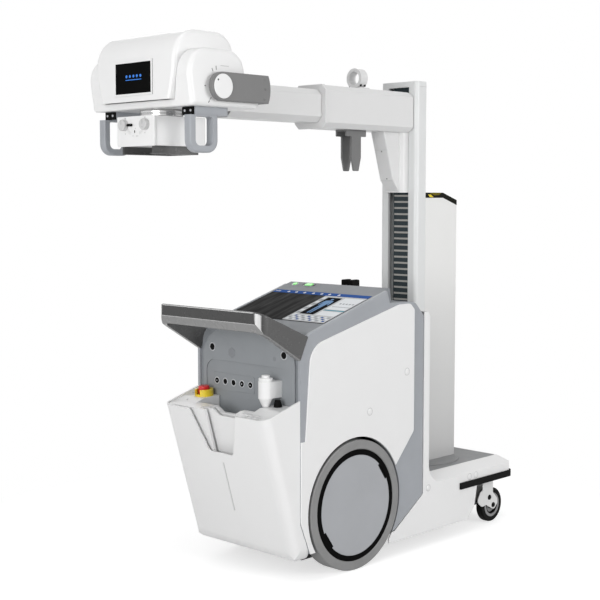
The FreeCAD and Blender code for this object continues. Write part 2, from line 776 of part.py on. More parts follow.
def estop_button():
    z = deck_z(ESTOP_X)
    rest = z + 4 + ESTOP_TRAVEL + SEAT
    head = rod("z", ESTOP_BUTTON_R, (ESTOP_X, ESTOP_Y), rest, z + ESTOP_HEIGHT + ESTOP_RISE)
    head = soften(head, 5, on_plane("z", [z + ESTOP_HEIGHT + ESTOP_RISE]))
    stem = rod("z", 8, (ESTOP_X, ESTOP_Y), z - 12, rest)
    return lean_to_deck(head.fuse(stem).removeSplitter(), ESTOP_X, ESTOP_Y)


def estop_bore():
    z = deck_z(ESTOP_X)
    bore = rod("z", 8 + FIT, (ESTOP_X, ESTOP_Y), z - 12 - ESTOP_TRAVEL - 2, z + 1)
    return lean_to_deck(bore, ESTOP_X, ESTOP_Y)


def rotary_knob():
    z = deck_z(KNOB_X) + SEAT
    cap = rod("z", KNOB_R, (KNOB_X, KNOB_Y), z, z + KNOB_HEIGHT, KNOB_R * 0.62)
    stem = rod("z", 5, (KNOB_X, KNOB_Y), z - 12, z)
    knob = soften(cap, 1.5, on_plane("z", [z + KNOB_HEIGHT])).fuse(stem).removeSplitter()
    return lean_to_deck(knob, KNOB_X, KNOB_Y)


def knob_bore():
    z = deck_z(KNOB_X)
    return lean_to_deck(rod("z", 5 + FIT, (KNOB_X, KNOB_Y), z - 14, z + 1), KNOB_X, KNOB_Y)


def switch_holster():
    """Tapered cup on a bracket, where the exposure hand switch stands."""
    place = (SWITCH_X, SWITCH_Y)
    cup = rod("z", HOLSTER_R, place, HOLSTER_CONE_Z, HOLSTER_TOP_Z)
    cup = soften(cup, 2, on_plane("z", [HOLSTER_TOP_Z]))
    tip = deck_z(SWITCH_X + HOLSTER_TIP_R) + SEAT
    cone = rod("z", HOLSTER_TIP_R, place, tip, HOLSTER_CONE_Z, HOLSTER_R - 1.5)
    bracket = box(SWITCH_X, FRONT_X + RECESS_DEPTH, SWITCH_Y - HOLSTER_R, SWITCH_Y + HOLSTER_R - 8,
                  HOLSTER_CONE_Z + 2, HOLSTER_TOP_Z - 2)
    body = cup.fuse([cone, bracket]).removeSplitter()
    return body.cut(rod("z", SWITCH_R + SEAT, place, HOLSTER_CONE_Z, HOLSTER_TOP_Z + 1))


def hand_switch():
    place = (SWITCH_X, SWITCH_Y)
    low = HOLSTER_CONE_Z + 4
    seat = HOLSTER_TOP_Z + SEAT
    stem = rod("z", SWITCH_R, place, low, seat)
    collar = rod("z", HOLSTER_R - 1.5, place, seat, seat + COLLAR_HEIGHT)
    body = stem.fuse(soften(collar, 2, on_plane("z", [seat + COLLAR_HEIGHT]))).removeSplitter()
    pocket = seat + COLLAR_HEIGHT - TRIGGER_SEAT
    return body.cut(rod("z", TRIGGER_R + FIT, place, pocket - TRIGGER_TRAVEL, seat + COLLAR_HEIGHT + 1))


def hand_switch_trigger():
    place = (SWITCH_X, SWITCH_Y)
    top = HOLSTER_TOP_Z + SEAT + COLLAR_HEIGHT
    cap = rod("z", TRIGGER_R, place, top - TRIGGER_SEAT + SEAT, top + TRIGGER_RISE)
    return soften(cap, 2, on_plane("z", [top + TRIGGER_RISE]))


# Base

def base_outline(inset, top, deck_front, low):
    rear = REAR_X + 1
    back = BACK_X - inset
    fillet = BACK_FILLET + inset
    return [
        (rear, low), (rear, 968), (back - 12, 968), (back, 950), (back, top - inset, fillet),
        (deck_front - inset, top - inset), (BASE_FRONT_X - inset, BASE_TOP_Z - CHAMFER_DROP - inset),
        (BASE_FRONT_X - inset, low),
    ]


def base_form(inset, low):
    """White casing: flat top, sloping shoulders and a back wall that sweeps up to the console."""
    core = prism("xz", base_outline(inset, BASE_TOP_Z, DECK_FRONT_X, low), -DECK_HALF, DECK_HALF)
    edge_top = BASE_TOP_Z - CHAMFER_DROP
    outer = BASE_HALF - inset
    side = Part.makeLoft([
        outline("xz", base_outline(inset, BASE_TOP_Z, DECK_FRONT_X, low), DECK_HALF),
        outline("xz", base_outline(inset, edge_top, BASE_FRONT_X - 1, low), outer)], True, True)
    form = core.fuse([side, mirrored(side)]).removeSplitter()
    return form.common(prism("xy", front_plan(0, -inset, BASE_CORNER - inset), low - 1, 1000))


def skirt(y0, y1):
    points = [
        (200, BASE_LOW_Z), (SKIRT_REAR_X, BASE_LOW_Z), (SKIRT_END_X, SKIRT_END_Z),
        (SKIRT_END_X + 26, UNDERSIDE_Z + 30), (REAR_X + 1, UNDERSIDE_Z + 30), (REAR_X + 1, 223),
        (236, 103), (200, 103),
    ]
    return prism("xz", points, y0, y1)


def base_cover():
    wall = BASE_WALL
    shell = base_form(0, UNDERSIDE_Z).cut(base_form(wall, UNDERSIDE_Z - 1))
    shell = shell.cut(box(REAR_X - 1, REAR_X + 1 + wall, -BASE_HALF + wall, BASE_HALF - wall, 0, 962))
    panel = skirt(BASE_HALF - wall, BASE_HALF).cut(arch(ARCH_GAP))
    shell = shell.fuse([panel, mirrored(panel)]).removeSplitter()
    recess = deck_recess(DECK_PLATE, SEAM / 2)
    shell = shell.cut(recess)
    return shell.cut(rod("z", 92, (TURN_X, 0), UNDERSIDE_Z, BASE_TOP_Z + 1))


def deck_recess(depth, grow):
    x0 = BACK_X + BACK_FILLET + 4
    return round_box("xy", x0 - grow, DECK_FRONT_X - 6 + grow, -DECK_HALF + 4 - grow,
                     DECK_HALF - 4 + grow, BASE_TOP_Z - depth, BASE_TOP_Z + grow, 12)


def deck_plate():
    """Grey tread plate round the turntable."""
    x0 = BACK_X + BACK_FILLET + 4
    plate = round_box("xy", x0, DECK_FRONT_X - 6, -DECK_HALF + 4, DECK_HALF - 4,
                      BASE_TOP_Z - DECK_PLATE, BASE_TOP_Z, 12)
    return plate.cut(rod("z", 92, (TURN_X, 0), UNDERSIDE_Z, BASE_TOP_Z + 1))


def front_plan(rear, grow, radius):
    """The base seen from above, its front corners rounded."""
    end, half = BASE_FRONT_X + grow, BASE_HALF + grow
    return [(rear, -half), (end, -half, radius), (end, half, radius), (rear, half)]


def bumper_strip():
    """Black rubber strip along both sides and round the front."""
    low, high = UNDERSIDE_Z + 3, UNDERSIDE_Z + 3 + BUMPER_HEIGHT
    outer = prism("xy", front_plan(BUMPER_REAR_X, BUMPER_THICK, BASE_CORNER + BUMPER_THICK), low, high)
    return outer.cut(prism("xy", front_plan(BUMPER_REAR_X - 5, 0, BASE_CORNER - 5), low - 1, high + 1))


def chassis_frame():
    """Floor tray, deck plate, turntable pedestal and axle blocks in one welded frame."""
    tray = box(FRAME_START_X, SKIRT_REAR_X, -FRAME_HALF, FRAME_HALF, BASE_LOW_Z + 4, BASE_LOW_Z + 12)
    pieces = []
    for side in (1, -1):
        y0, y1 = sorted((side * FRAME_HALF, side * (FRAME_HALF - 6)))
        pieces.append(box(FRAME_START_X, SKIRT_REAR_X, y0, y1, BASE_LOW_Z + 12, UNDERSIDE_Z))
        a0, a1 = sorted((side * (FRAME_HALF - 30), side * (WHEEL_FACE - TYRE_WIDTH - 4)))
        pieces.append(rod("y", 50, (0, WHEEL_R), a0, a1))
        pieces.append(box(-50, 50, a0, a0 + 30, UNDERSIDE_Z, WHEEL_R))
        s0, s1 = sorted((side * FRAME_HALF, side * (WHEEL_FACE - DISC_STEP - 31)))
        pieces.append(rod("y", AXLE_R, (0, WHEEL_R), s0, s1))
    deck = box(FRAME_START_X, BASE_FRONT_X - 40, -FRAME_HALF, FRAME_HALF,
               UNDERSIDE_Z, UNDERSIDE_Z + FRAME_PLATE)
    plan = front_plan(CASTER_X - 90, -BASE_WALL - SEAT, BASE_CORNER)
    wings = prism("xy", plan, UNDERSIDE_Z, UNDERSIDE_Z + FRAME_PLATE)
    pedestal = rod("z", 90, (TURN_X, 0), UNDERSIDE_Z, BASE_TOP_Z - SEAT)
    frame = tray.fuse(pieces + [deck, wings, pedestal]).removeSplitter()
    bore = rod("z", STEM_R + FIT, (TURN_X, 0), BASE_TOP_Z - STEM_LENGTH - 1, BASE_TOP_Z + 1)
    frame = frame.cut(bore)
    for side in (1, -1):
        hole = rod("z", SWIVEL_STEM_R + FIT, (caster_pivot_x(), side * CASTER_Y),
                   UNDERSIDE_Z - 1, UNDERSIDE_Z + FRAME_PLATE + 1)
        frame = frame.cut(hole)
    return frame


def power_units():
    """Battery and high-voltage generator in the tray, and the two wheel gearmotors."""
    low = BASE_LOW_Z + 12
    battery = box(110, 420, -180, 180, low, UNDERSIDE_Z - SEAT)
    generator = box(-190, -70, -180, 180, low, UNDERSIDE_Z - SEAT)
    bank = box(-190, 330, -185, 185, UNDERSIDE_Z + FRAME_PLATE, 480)
    bank = bank.cut(box(-60, 60, -186, 186, UNDERSIDE_Z, WHEEL_R + 60))
    motors = []
    for side in (1, -1):
        y0, y1 = sorted((side * (FRAME_HALF - 30), side * 40))
        motors.append(rod("y", 44, (0, WHEEL_R), y0, y1))
    return Part.makeCompound([battery, generator, bank] + motors)


def arm_dock():
    """Two-jawed receiver behind the display, where the arm's hook is parked for driving."""
    foot = box(HOOK_X - 34, HOOK_X + 34, -40, 40, REAR_DECK_Z, REAR_DECK_Z + 8)
    post = box(HOOK_X - 22, HOOK_X + 22, -30, 30, REAR_DECK_Z + 8, DOCK_TOP_Z)
    post = soften(post, 5, on_plane("z", [DOCK_TOP_Z]))
    gap = box(HOOK_X - 30, HOOK_X + 30, -16, 16, REAR_DECK_Z + 34, DOCK_TOP_Z + 1)
    return foot.fuse(post).removeSplitter().cut(gap)


# Casters

def caster_pivot_x():
    return CASTER_X - CASTER_TRAIL


def caster_fork():
    """Pressed steel fork: top plate, two notched legs and the swivel stem."""
    x, y = caster_pivot_x(), CASTER_Y
    top = UNDERSIDE_Z - SEAT
    inner = CASTER_WIDTH / 2 + SEAT + 3
    neck0, neck1 = CASTER_X - 78, CASTER_X - 2
    plate = rod("z", 30, (x, y), top - FORK_PLATE, top)
    bridge = box(neck0, neck1, y - inner - FORK_PLATE, y + inner + FORK_PLATE,
                 top - FORK_PLATE - 8, top - FORK_PLATE)
    profile = [
        (neck0, top - FORK_PLATE), (neck1, top - FORK_PLATE), (neck1, CASTER_R + 57, 10),
        (CASTER_X + 32, CASTER_R + 24, 10), (CASTER_X + 32, CASTER_R + 2, 12),
        (CASTER_X + 7, CASTER_R - 21, 14), (CASTER_X - 30, CASTER_R - 4, 10),
        (CASTER_X - 50, CASTER_R + 8, 6), (CASTER_X - 82, CASTER_R + 4, 20),
        (CASTER_X - 118, CASTER_R + 32, 20), (CASTER_X - 94, CASTER_R + 71, 12), (neck0, CASTER_R + 76, 6),
    ]
    legs = [prism("xz", profile, y + side * inner, y + side * (inner + FORK_PLATE)) for side in (1, -1)]
    stem = rod("z", SWIVEL_STEM_R, (x, y), top, UNDERSIDE_Z + FRAME_PLATE + 6)
    axle = rod("y", FORK_AXLE_R, (CASTER_X, CASTER_R), y - inner - FORK_PLATE - 4, y + inner + FORK_PLATE + 4)
    return plate.fuse([bridge, stem, axle] + legs).removeSplitter()


def caster_wheel():
    """Rubber tread on a grey rim, with its hub bored for the axle."""
    y0, y1 = CASTER_Y - CASTER_WIDTH / 2, CASTER_Y + CASTER_WIDTH / 2
    tread = tube("y", CASTER_R, CASTER_RIM_R, (CASTER_X, CASTER_R), y0, y1)
    tread = soften(tread, 6, lambda e: e.BoundBox.XLength > 2 * CASTER_R - 1 and e.BoundBox.YLength < 1)
    rim = tube("y", CASTER_RIM_R + 2, 40, (CASTER_X, CASTER_R), y0 + 1, y1 - 1)
    web = rod("y", 40, (CASTER_X, CASTER_R), CASTER_Y - 7, CASTER_Y + 7)
    hub = rod("y", 16, (CASTER_X, CASTER_R), y0 - 2, y1 + 2)
    wheel = rim.fuse([web, hub, tread]).removeSplitter()
    return wheel.cut(rod("y", FORK_AXLE_R + FIT, (CASTER_X, CASTER_R), y0 - 5, y1 + 5))


# Turntable and column

def turntable():
    low = BASE_TOP_Z
    disc = rod("z", TURN_R, (TURN_X, 0), low + SEAT, low + SEAT + TURN_THICK)
    disc = disc.makeChamfer(2, [e for e in disc.Edges if on_plane("z", [low + SEAT + TURN_THICK])(e)])
    stem = rod("z", STEM_R, (TURN_X, 0), low - STEM_LENGTH, low + SEAT)
    return disc.fuse(stem).removeSplitter()


def stand_z():
    return BASE_TOP_Z + SEAT + TURN_THICK


def column_profile():
    """Upright with a full-height front slot, in which the carriage runs."""
    front, rear = COLUMN_FRONT_X, COLUMN_FRONT_X + COLUMN_DEPTH
    half = COLUMN_HALF
    points = [(front, -half, COLUMN_CORNER), (rear, -half), (rear, half), (front, half, COLUMN_CORNER)]
    low = stand_z()
    body = prism("xy", points, low, COLUMN_SEAM_Z)
    hollow = box(front + COLUMN_LIP, rear - COLUMN_WALL, -half + 10, half - 10, low + 8, COLUMN_SEAM_Z + 1)
    slot = box(front - 1, front + COLUMN_LIP + 1, -SLOT_HALF, SLOT_HALF, SLOT_LOW_Z, COLUMN_SEAM_Z - 2)
    return body.cut(hollow).cut(slot)


def column_cap():
    front, rear = COLUMN_FRONT_X, COLUMN_FRONT_X + COLUMN_DEPTH
    half = COLUMN_HALF
    points = [(front, -half, COLUMN_CORNER), (rear, -half), (rear, half), (front, half, COLUMN_CORNER)]
    cap = prism("xy", points, COLUMN_SEAM_Z, COLUMN_TOP_Z)
    return soften(cap, 3, on_plane("z", [COLUMN_TOP_Z]))


def belt_x():
    """Front of the belt's cover, behind the bars that the slider passes."""
    return COLUMN_FRONT_X + COLUMN_LIP + GLIDE + SLIDER_THICK + GLIDE + BAR_THICK


def belt_panel():
    x = belt_x()
    rear = COLUMN_FRONT_X + COLUMN_DEPTH - COLUMN_WALL
    panel = box(x, x + BELT_THICK, -BELT_HALF, BELT_HALF, stand_z() + 8, COLUMN_SEAM_Z)
    web = box(x + BELT_THICK, rear, -12, 12, stand_z() + 8, COLUMN_SEAM_Z)
    return panel.fuse(web).removeSplitter()


def belt_bars():
    x = belt_x()
    count = int((COLUMN_SEAM_Z - 20 - BAR_LOW_Z) / BAR_PITCH) + 1
    bars = [box(x - BAR_THICK, x, -BELT_HALF + 3, BELT_HALF - 3, z, z + BAR_HEIGHT)
            for z in (BAR_LOW_Z + BAR_PITCH * i for i in range(count))]
    return Part.makeCompound(bars)


def tower_outline(drop, inset):
    front = COLUMN_FRONT_X + COLUMN_DEPTH + inset
    rear = TOWER_REAR_X - inset
    low = stand_z() + (inset > 0) * 8
    return [(front, low), (front, TOWER_TOP_Z - drop), (TOWER_SLOPE_X, TOWER_TOP_Z - drop),
            (rear, TOWER_END_Z - drop), (rear, low)]


def tower_cover():
    """Tall box behind the column, in which the balance weight runs."""
    body = prism("xz", tower_outline(PAD_THICK, 0), -TOWER_HALF, TOWER_HALF)
    body = soften(body, 6, lambda e: e.BoundBox.ZLength > 900)
    inner = TOWER_HALF - TOWER_WALL
    hollow = prism("xz", tower_outline(PAD_THICK + TOWER_WALL, TOWER_WALL), -inner, inner)
    return body.cut(hollow)


def hazard_pad():
    """Striped pad that closes the tower's top."""
    whole = prism("xz", tower_outline(0, 0), -TOWER_HALF, TOWER_HALF)
    body = prism("xz", tower_outline(PAD_THICK, 0), -TOWER_HALF - 1, TOWER_HALF + 1)
    pad = whole.cut(body)
    return soften(pad, 4, lambda e: e.BoundBox.ZLength > PAD_THICK - 1
                  and e.BoundBox.XLength < 1 and e.BoundBox.YLength < 1)


def balance_weight():
    front = COLUMN_FRONT_X + COLUMN_DEPTH + TOWER_WALL + SEAT
    rear = TOWER_REAR_X - TOWER_WALL - SEAT
    half = TOWER_HALF - TOWER_WALL - SEAT
    return box(front, rear, -half, half, WEIGHT_LOW_Z, WEIGHT_LOW_Z + WEIGHT_HEIGHT)


# Carriage and outer arm

def carriage():
    """Slider behind the column's lips, neck through the slot, and the gusset under the arm."""
    neck_half = SLOT_HALF - GLIDE
    face = COLUMN_FRONT_X + COLUMN_LIP + GLIDE
    top = ARM_TOP_Z - 5
    slider = box(face, face + SLIDER_THICK, -SLIDER_HALF, SLIDER_HALF, CARRIAGE_LOW_Z + 22, top - 10)
    neck = box(ARM_REAR_X, face, -neck_half, neck_half, CARRIAGE_LOW_Z, top)
    points = [(CARRIAGE_FRONT_X, -neck_half, CARRIAGE_CORNER), (ARM_REAR_X, -neck_half),
              (ARM_REAR_X, neck_half), (CARRIAGE_FRONT_X, neck_half, CARRIAGE_CORNER)]
    block = prism("xy", points, CARRIAGE_LOW_Z, ARM_LOW_Z)
    gusset = [(GUSSET_TOP_X, ARM_LOW_Z), (GUSSET_LOW_X, GUSSET_LOW_Z, 30),
              (CARRIAGE_FRONT_X + 6, CARRIAGE_LOW_Z, 26), (CARRIAGE_FRONT_X + 22, CARRIAGE_LOW_Z),
              (CARRIAGE_FRONT_X + 22, ARM_LOW_Z)]
    rib = prism("xz", gusset, -GUSSET_HALF, GUSSET_HALF)
    rib = soften(rib, 5, lambda e: on_plane("y", [GUSSET_HALF, -GUSSET_HALF])(e)
                 and e.BoundBox.XMin < CARRIAGE_FRONT_X and e.BoundBox.ZLength > 30)
    return slider.fuse([neck, block, rib]).removeSplitter()


def outer_arm():
    """Octagonal box section, closed at the column end."""
    start = ARM_FRONT_X + END_FRAME
    shape = prism("yz", octagon(ARM_HALF, ARM_LOW_Z, ARM_TOP_Z, ARM_CHAMFER), start, ARM_REAR_X)
    half = ARM_HALF - ARM_WALL
    hole = octagon(half, ARM_LOW_Z + ARM_WALL, ARM_TOP_Z - ARM_WALL, ARM_CHAMFER - 3)
    shape = soften(shape, 16, lambda e: on_plane("x", [ARM_REAR_X])(e) and e.BoundBox.ZMin > ARM_TOP_Z - 1)
    return shape.cut(prism("yz", hole, start - 1, ARM_REAR_X - ARM_WALL))


def arm_end_frame():
    """Collar at the outer arm's mouth, in which the inner arm slides."""
    lip = END_LIP
    outer = octagon(ARM_HALF + lip, ARM_LOW_Z - lip, ARM_TOP_Z + lip, ARM_CHAMFER + 1)
    collar = prism("yz", outer, ARM_FRONT_X, ARM_FRONT_X + END_FRAME)
    collar = collar.makeChamfer(2, [e for e in collar.Edges if on_plane("x", [ARM_FRONT_X])(e)])
    mouth = octagon(INNER_HALF + SEAT, INNER_LOW_Z - SEAT, INNER_TOP_Z + SEAT, INNER_CHAMFER)
    return collar.cut(prism("yz", mouth, ARM_FRONT_X - 1, ARM_FRONT_X + END_FRAME + 1))


def cable_ring():
    """Cable guide: a ring on a screwed foot on top of the arm."""
    x0, x1 = CABLE_RING_X - CABLE_RING_LENGTH / 2, CABLE_RING_X + CABLE_RING_LENGTH / 2
    centre = (0, ARM_TOP_Z + CABLE_RING_RISE + CABLE_RING_R)
    ring = rod("x", CABLE_RING_R, centre, x0, x1)
    foot = box(x0, x1 + 22, -CABLE_RING_R + 6, CABLE_RING_R - 6, ARM_TOP_Z, ARM_TOP_Z + 8)
    foot = soften(foot, 6, lambda e: e.BoundBox.ZLength > 7)
    body = ring.fuse(foot).removeSplitter()
    return body.cut(rod("x", CABLE_BORE_R, centre, x0 - 1, x1 + 1))


def dock_hook():
    """Two hanging plates with tapered tongues that drop into the dock."""
    flange_low = ARM_LOW_Z - HOOK_FLANGE_DROP
    wide, slim = HOOK_FLANGE / 2, HOOK_TONGUE / 2
    outer = [
        (HOOK_X - wide, ARM_LOW_Z), (HOOK_X - wide, flange_low, 4), (HOOK_X - slim, flange_low, 4),
        (HOOK_X - slim, HOOK_TAPER_Z), (HOOK_X - slim / 2, HOOK_TIP_Z, 5), (HOOK_X + slim / 2, HOOK_TIP_Z, 5),
        (HOOK_X + slim, HOOK_TAPER_Z), (HOOK_X + slim, flange_low, 4), (HOOK_X + wide, flange_low, 4),
        (HOOK_X + wide, ARM_LOW_Z),
    ]
    near = HOOK_GAP / 2
    plates = [prism("xz", outer, near, near + HOOK_PLATE), prism("xz", outer, -near - HOOK_PLATE, -near)]
    bridge = box(HOOK_X - wide, HOOK_X + wide, -near, near, ARM_LOW_Z - 6, ARM_LOW_Z)
    return plates[0].fuse([plates[1], bridge]).removeSplitter()


# Inner arm, yoke and head

def inner_arm():
    """Telescopic tube with a bored plug for the roll shaft at its outer end."""
    front, rear = INNER_FRONT_X, ARM_REAR_X - ARM_WALL - ARM_STOP - ARM_TRAVEL
    shape = prism("yz", octagon(INNER_HALF, INNER_LOW_Z, INNER_TOP_Z, INNER_CHAMFER), front, rear)
    hole = octagon(INNER_HALF - INNER_WALL, INNER_LOW_Z + INNER_WALL, INNER_TOP_Z - INNER_WALL,
                   INNER_CHAMFER - 2)
    shape = shape.cut(prism("yz", hole, front + PLUG_LENGTH, rear + 1))
    pads = []
    middle = (INNER_TOP_Z + INNER_LOW_Z) / 2
    high = ARM_TOP_Z - ARM_WALL - SEAT
    low = ARM_LOW_Z + ARM_WALL + SEAT
    half = ARM_HALF - ARM_WALL - SEAT
    pads.append(box(rear - 30, rear - 5, -25, 25, INNER_TOP_Z - 1, high))
    pads.append(box(rear - 30, rear - 5, -25, 25, low, INNER_LOW_Z + 1))
    for side in (1, -1):
        y0, y1 = sorted((side * (INNER_HALF - 1), side * half))
        pads.append(box(rear - 30, rear - 5, y0, y1, middle - 20, middle + 20))
    shape = shape.fuse(pads).removeSplitter()
    return shape.cut(rod("x", ROLL_SHAFT_R + FIT, (0, ARM_Z), front - 1, front + PLUG_LENGTH - 8))


def yoke():
    """U-shaped fork that carries the head at both sides and turns on the arm's end."""
    r = YOKE_RADIUS
    low, high = PIVOT_Z - r, PIVOT_Z + r
    corner_x = YOKE_BACK_X - YOKE_SAG
    edges = [
        Part.Arc(V(PIVOT_X, 0, high), V(PIVOT_X - r, 0, PIVOT_Z), V(PIVOT_X, 0, low)).toShape(),
        Part.makeLine(V(PIVOT_X, 0, low), V(corner_x, 0, low)),
        Part.Arc(V(corner_x, 0, low), V(YOKE_BACK_X, 0, PIVOT_Z), V(corner_x, 0, high)).toShape(),
        Part.makeLine(V(corner_x, 0, high), V(PIVOT_X, 0, high)),
    ]
    face = Part.Face(Part.Wire(edges))
    face.translate(V(0, -YOKE_HALF, 0))
    whole = face.extrude(V(0, 2 * YOKE_HALF, 0))
    whole = soften(whole, 4, on_plane("y", [YOKE_HALF, -YOKE_HALF]))
    inner = YOKE_HALF - YOKE_PLATE
    web_x = YOKE_BACK_X - YOKE_WEB
    body = whole.cut(box(PIVOT_X - r - 5, web_x, -inner, inner, low - 5, high + 5))
    hub = prism("yz", octagon(INNER_HALF - 1, INNER_LOW_Z + 1, INNER_TOP_Z - 1, INNER_CHAMFER),
                web_x, INNER_FRONT_X - SEAT)
    shaft = rod("x", ROLL_SHAFT_R, (0, ARM_Z), web_x, INNER_FRONT_X + PLUG_LENGTH - 10)
    body = body.fuse([hub, shaft]).removeSplitter()
    return body.cut(rod("y", TILT_PIN_R + FIT, (PIVOT_X, PIVOT_Z), -YOKE_HALF - 5, YOKE_HALF + 5))


def pivot_caps():
    """White discs that close the yoke's two pivots."""
    start = YOKE_HALF
    cap = rod("y", CAP_R, (PIVOT_X, PIVOT_Z), start, start + CAP_THICK)
    cap = soften(cap, 1.5, on_plane("y", [start + CAP_THICK]))
    return Part.makeCompound([cap, mirrored(cap)])


def head_base_profile(inset):
    low = HEAD_BASE_LOW_Z + inset
    return [
        (HEAD_BASE_FRONT_X + 16 + inset, low, 8), (HEAD_BASE_FRONT_X + inset, PIVOT_Z + 38, 60),
        (HEAD_BASE_FRONT_X + 8 + inset, HEAD_BASE_TOP_Z - inset, 84 - inset),
        (COVER_REAR_X - 16 - inset, HEAD_BASE_TOP_Z - inset, 74 - inset),
        (COVER_REAR_X - inset, PIVOT_Z + 46, 30), (HEAD_BASE_REAR_X - inset, PIVOT_Z + 6, 22),
        (HEAD_BASE_REAR_X - inset, low, 24),
    ]


def head_base():
    """Wide arched casing of the tube head, with a trunnion at each side."""
    outer = prism("xz", head_base_profile(0), -BASE_COVER_HALF, BASE_COVER_HALF)
    outer = soften(outer, HEAD_EDGE, lambda e: on_plane("y", [BASE_COVER_HALF, -BASE_COVER_HALF])(e)
                   and e.BoundBox.ZMax > HEAD_BASE_LOW_Z + 20)
    half = BASE_COVER_HALF - COVER_WALL - 2
    shell = outer.cut(prism("xz", head_base_profile(COVER_WALL + 2), -half, half))
    pins = []
    for side in (1, -1):
        y0, y1 = sorted((side * (half - 10), side * (YOKE_HALF - SEAT)))
        s0, s1 = sorted((side * (half - 10), side * (YOKE_HALF - YOKE_PLATE - SEAT)))
        pins.append(rod("y", TILT_PIN_R, (PIVOT_X, PIVOT_Z), y0, y1))
        pins.append(rod("y", TILT_PIN_R + 14, (PIVOT_X, PIVOT_Z), s0, s1))
        l0, l1 = sorted((side * (COVER_HALF_LOW - 14), side * (COVER_HALF_LOW - 1)))
        pins.append(box(PIVOT_X - 40, PIVOT_X + 60, l0, l1, HEAD_BASE_LOW_Z + COVER_WALL, COVER_LOW_Z))
    shell = shell.cut(cover_body(-SEAM))
    shell = shell.fuse(pins).removeSplitter()
    return shell.cut(rod("z", COLL_SHAFT_R + FIT, (coll_x(), 0), HEAD_BASE_LOW_Z - 1, HEAD_BASE_LOW_Z + 20))


def coll_x():
    return (COLL_FRONT_X + COLL_REAR_X) / 2


def cover_form(inset):
    """Main cover's form: an arch along Y whose sides draw in towards the bottom."""
    profile = [
        (HEAD_FRONT_X + inset, COVER_LOW_Z), (HEAD_FRONT_X + inset, COVER_TOP_Z - inset, 105 - inset),
        (COVER_REAR_X - inset, COVER_TOP_Z - inset, 76 - inset), (COVER_REAR_X - inset, COVER_LOW_Z),
    ]
    arch_form = prism("xz", profile, -COVER_HALF - 5, COVER_HALF + 5)
    half, low = COVER_HALF - inset, COVER_HALF_LOW - inset
    top = COVER_TOP_Z + 5
    front = [(-low, COVER_LOW_Z), (low, COVER_LOW_Z), (half, COVER_BEND_Z, 60), (half, top), (-half, top),
             (-half, COVER_BEND_Z, 60)]
    return arch_form.common(prism("yz", front, HEAD_FRONT_X - 1, COVER_REAR_X + 1))


def cover_body(inset):
    """The form with its side edges rounded all along the arch."""
    def pick(edge):
        limits = edge.BoundBox
        rises = limits.ZLength > 5 and limits.XLength < 120
        on_top = limits.ZMin > COVER_TOP_Z - inset - 1
        return abs(edge.CenterOfMass.y) > COVER_HALF_LOW - inset - 4 and (rises or on_top)
    return soften(cover_form(inset), HEAD_EDGE - inset, pick)


def head_cover():
    """Narrower raised cover over the tube, with the head's display in its front."""
    shell = cover_body(0).cut(cover_body(COVER_WALL))
    return shell.cut(head_screen_block(0, SCREEN_FRAME + 4))


def head_screen_block(gap, depth):
    return box(HEAD_FRONT_X - 1, HEAD_FRONT_X + depth, -HEAD_SCREEN_HALF - SCREEN_FRAME + gap,
               HEAD_SCREEN_HALF + SCREEN_FRAME - gap, SCREEN_LOW_Z - SCREEN_FRAME + gap,
               SCREEN_TOP_Z + SCREEN_FRAME - gap)


def head_display():
    """Flat panel with a narrow raised frame."""
    proud = 2
    body = head_screen_block(0, SCREEN_FRAME + 4)
    body.translate(V(1 - proud, 0, 0))
    well = box(HEAD_FRONT_X - proud - 1, HEAD_FRONT_X - proud + 2, -HEAD_SCREEN_HALF, HEAD_SCREEN_HALF,
               SCREEN_LOW_Z, SCREEN_TOP_Z)
    return body.cut(well)


def tube_housing():
    """Lead-lined x-ray tube housing with its two cable sockets and the port."""
    barrel = rod("y", TUBE_R, (PIVOT_X, PIVOT_Z + 20), -TUBE_LENGTH / 2, TUBE_LENGTH / 2)
    port = rod("z", 46, (coll_x(), 0), HEAD_BASE_LOW_Z + COVER_WALL + 14, PIVOT_Z)
    horns = [rod("z", 24, (PIVOT_X, side * 120), PIVOT_Z + 60, PIVOT_Z + 130) for side in (1, -1)]
    feet = [box(PIVOT_X - 40, PIVOT_X + 40, side * 125 - 15, side * 125 + 15,
                HEAD_BASE_LOW_Z + COVER_WALL + 2, PIVOT_Z) for side in (1, -1)]
    return barrel.fuse([port] + horns + feet).removeSplitter()


def grip_loop(side):
    """D-shaped handle below the head's side, on its mounting bar."""
    y0, y1 = GRIP_INNER_Y, GRIP_INNER_Y + GRIP_DEPTH
    x0, x1 = GRIP_X - GRIP_HALF, GRIP_X + GRIP_HALF
    high = MOUNT_BAR_LOW_Z
    outer = [(x0, GRIP_LOW_Z, GRIP_CORNER), (x1, GRIP_LOW_Z, GRIP_CORNER), (x1, high), (x0, high)]
    inner = [(x0 + GRIP_LIMB, GRIP_LOW_Z + GRIP_LIMB, GRIP_CORNER - GRIP_LIMB),
             (x1 - GRIP_LIMB, GRIP_LOW_Z + GRIP_LIMB, GRIP_CORNER - GRIP_LIMB),
             (x1 - GRIP_LIMB, high - 5, 8), (x0 + GRIP_LIMB, high - 5, 8)]
    loop = prism("xz", outer, y0, y1)
    loop = soften(loop, 6, lambda e: on_plane("y", [y0, y1])(e) and e.BoundBox.ZMin < high - 1
                  and e.BoundBox.ZMax < high + 1)
    loop = loop.cut(prism("xz", inner, y0 - 1, y1 + 1))
    bar = box(MOUNT_BAR_FRONT_X, MOUNT_BAR_REAR_X, MOUNT_BAR_Y, GRIP_INNER_Y + GRIP_DEPTH - 4,
              high, HEAD_BASE_LOW_Z)
    piece = loop.fuse(bar).removeSplitter()
    return piece if side > 0 else mirrored(piece)


def head_grips():
    return Part.makeCompound([grip_loop(1), grip_loop(-1)])


# Collimator

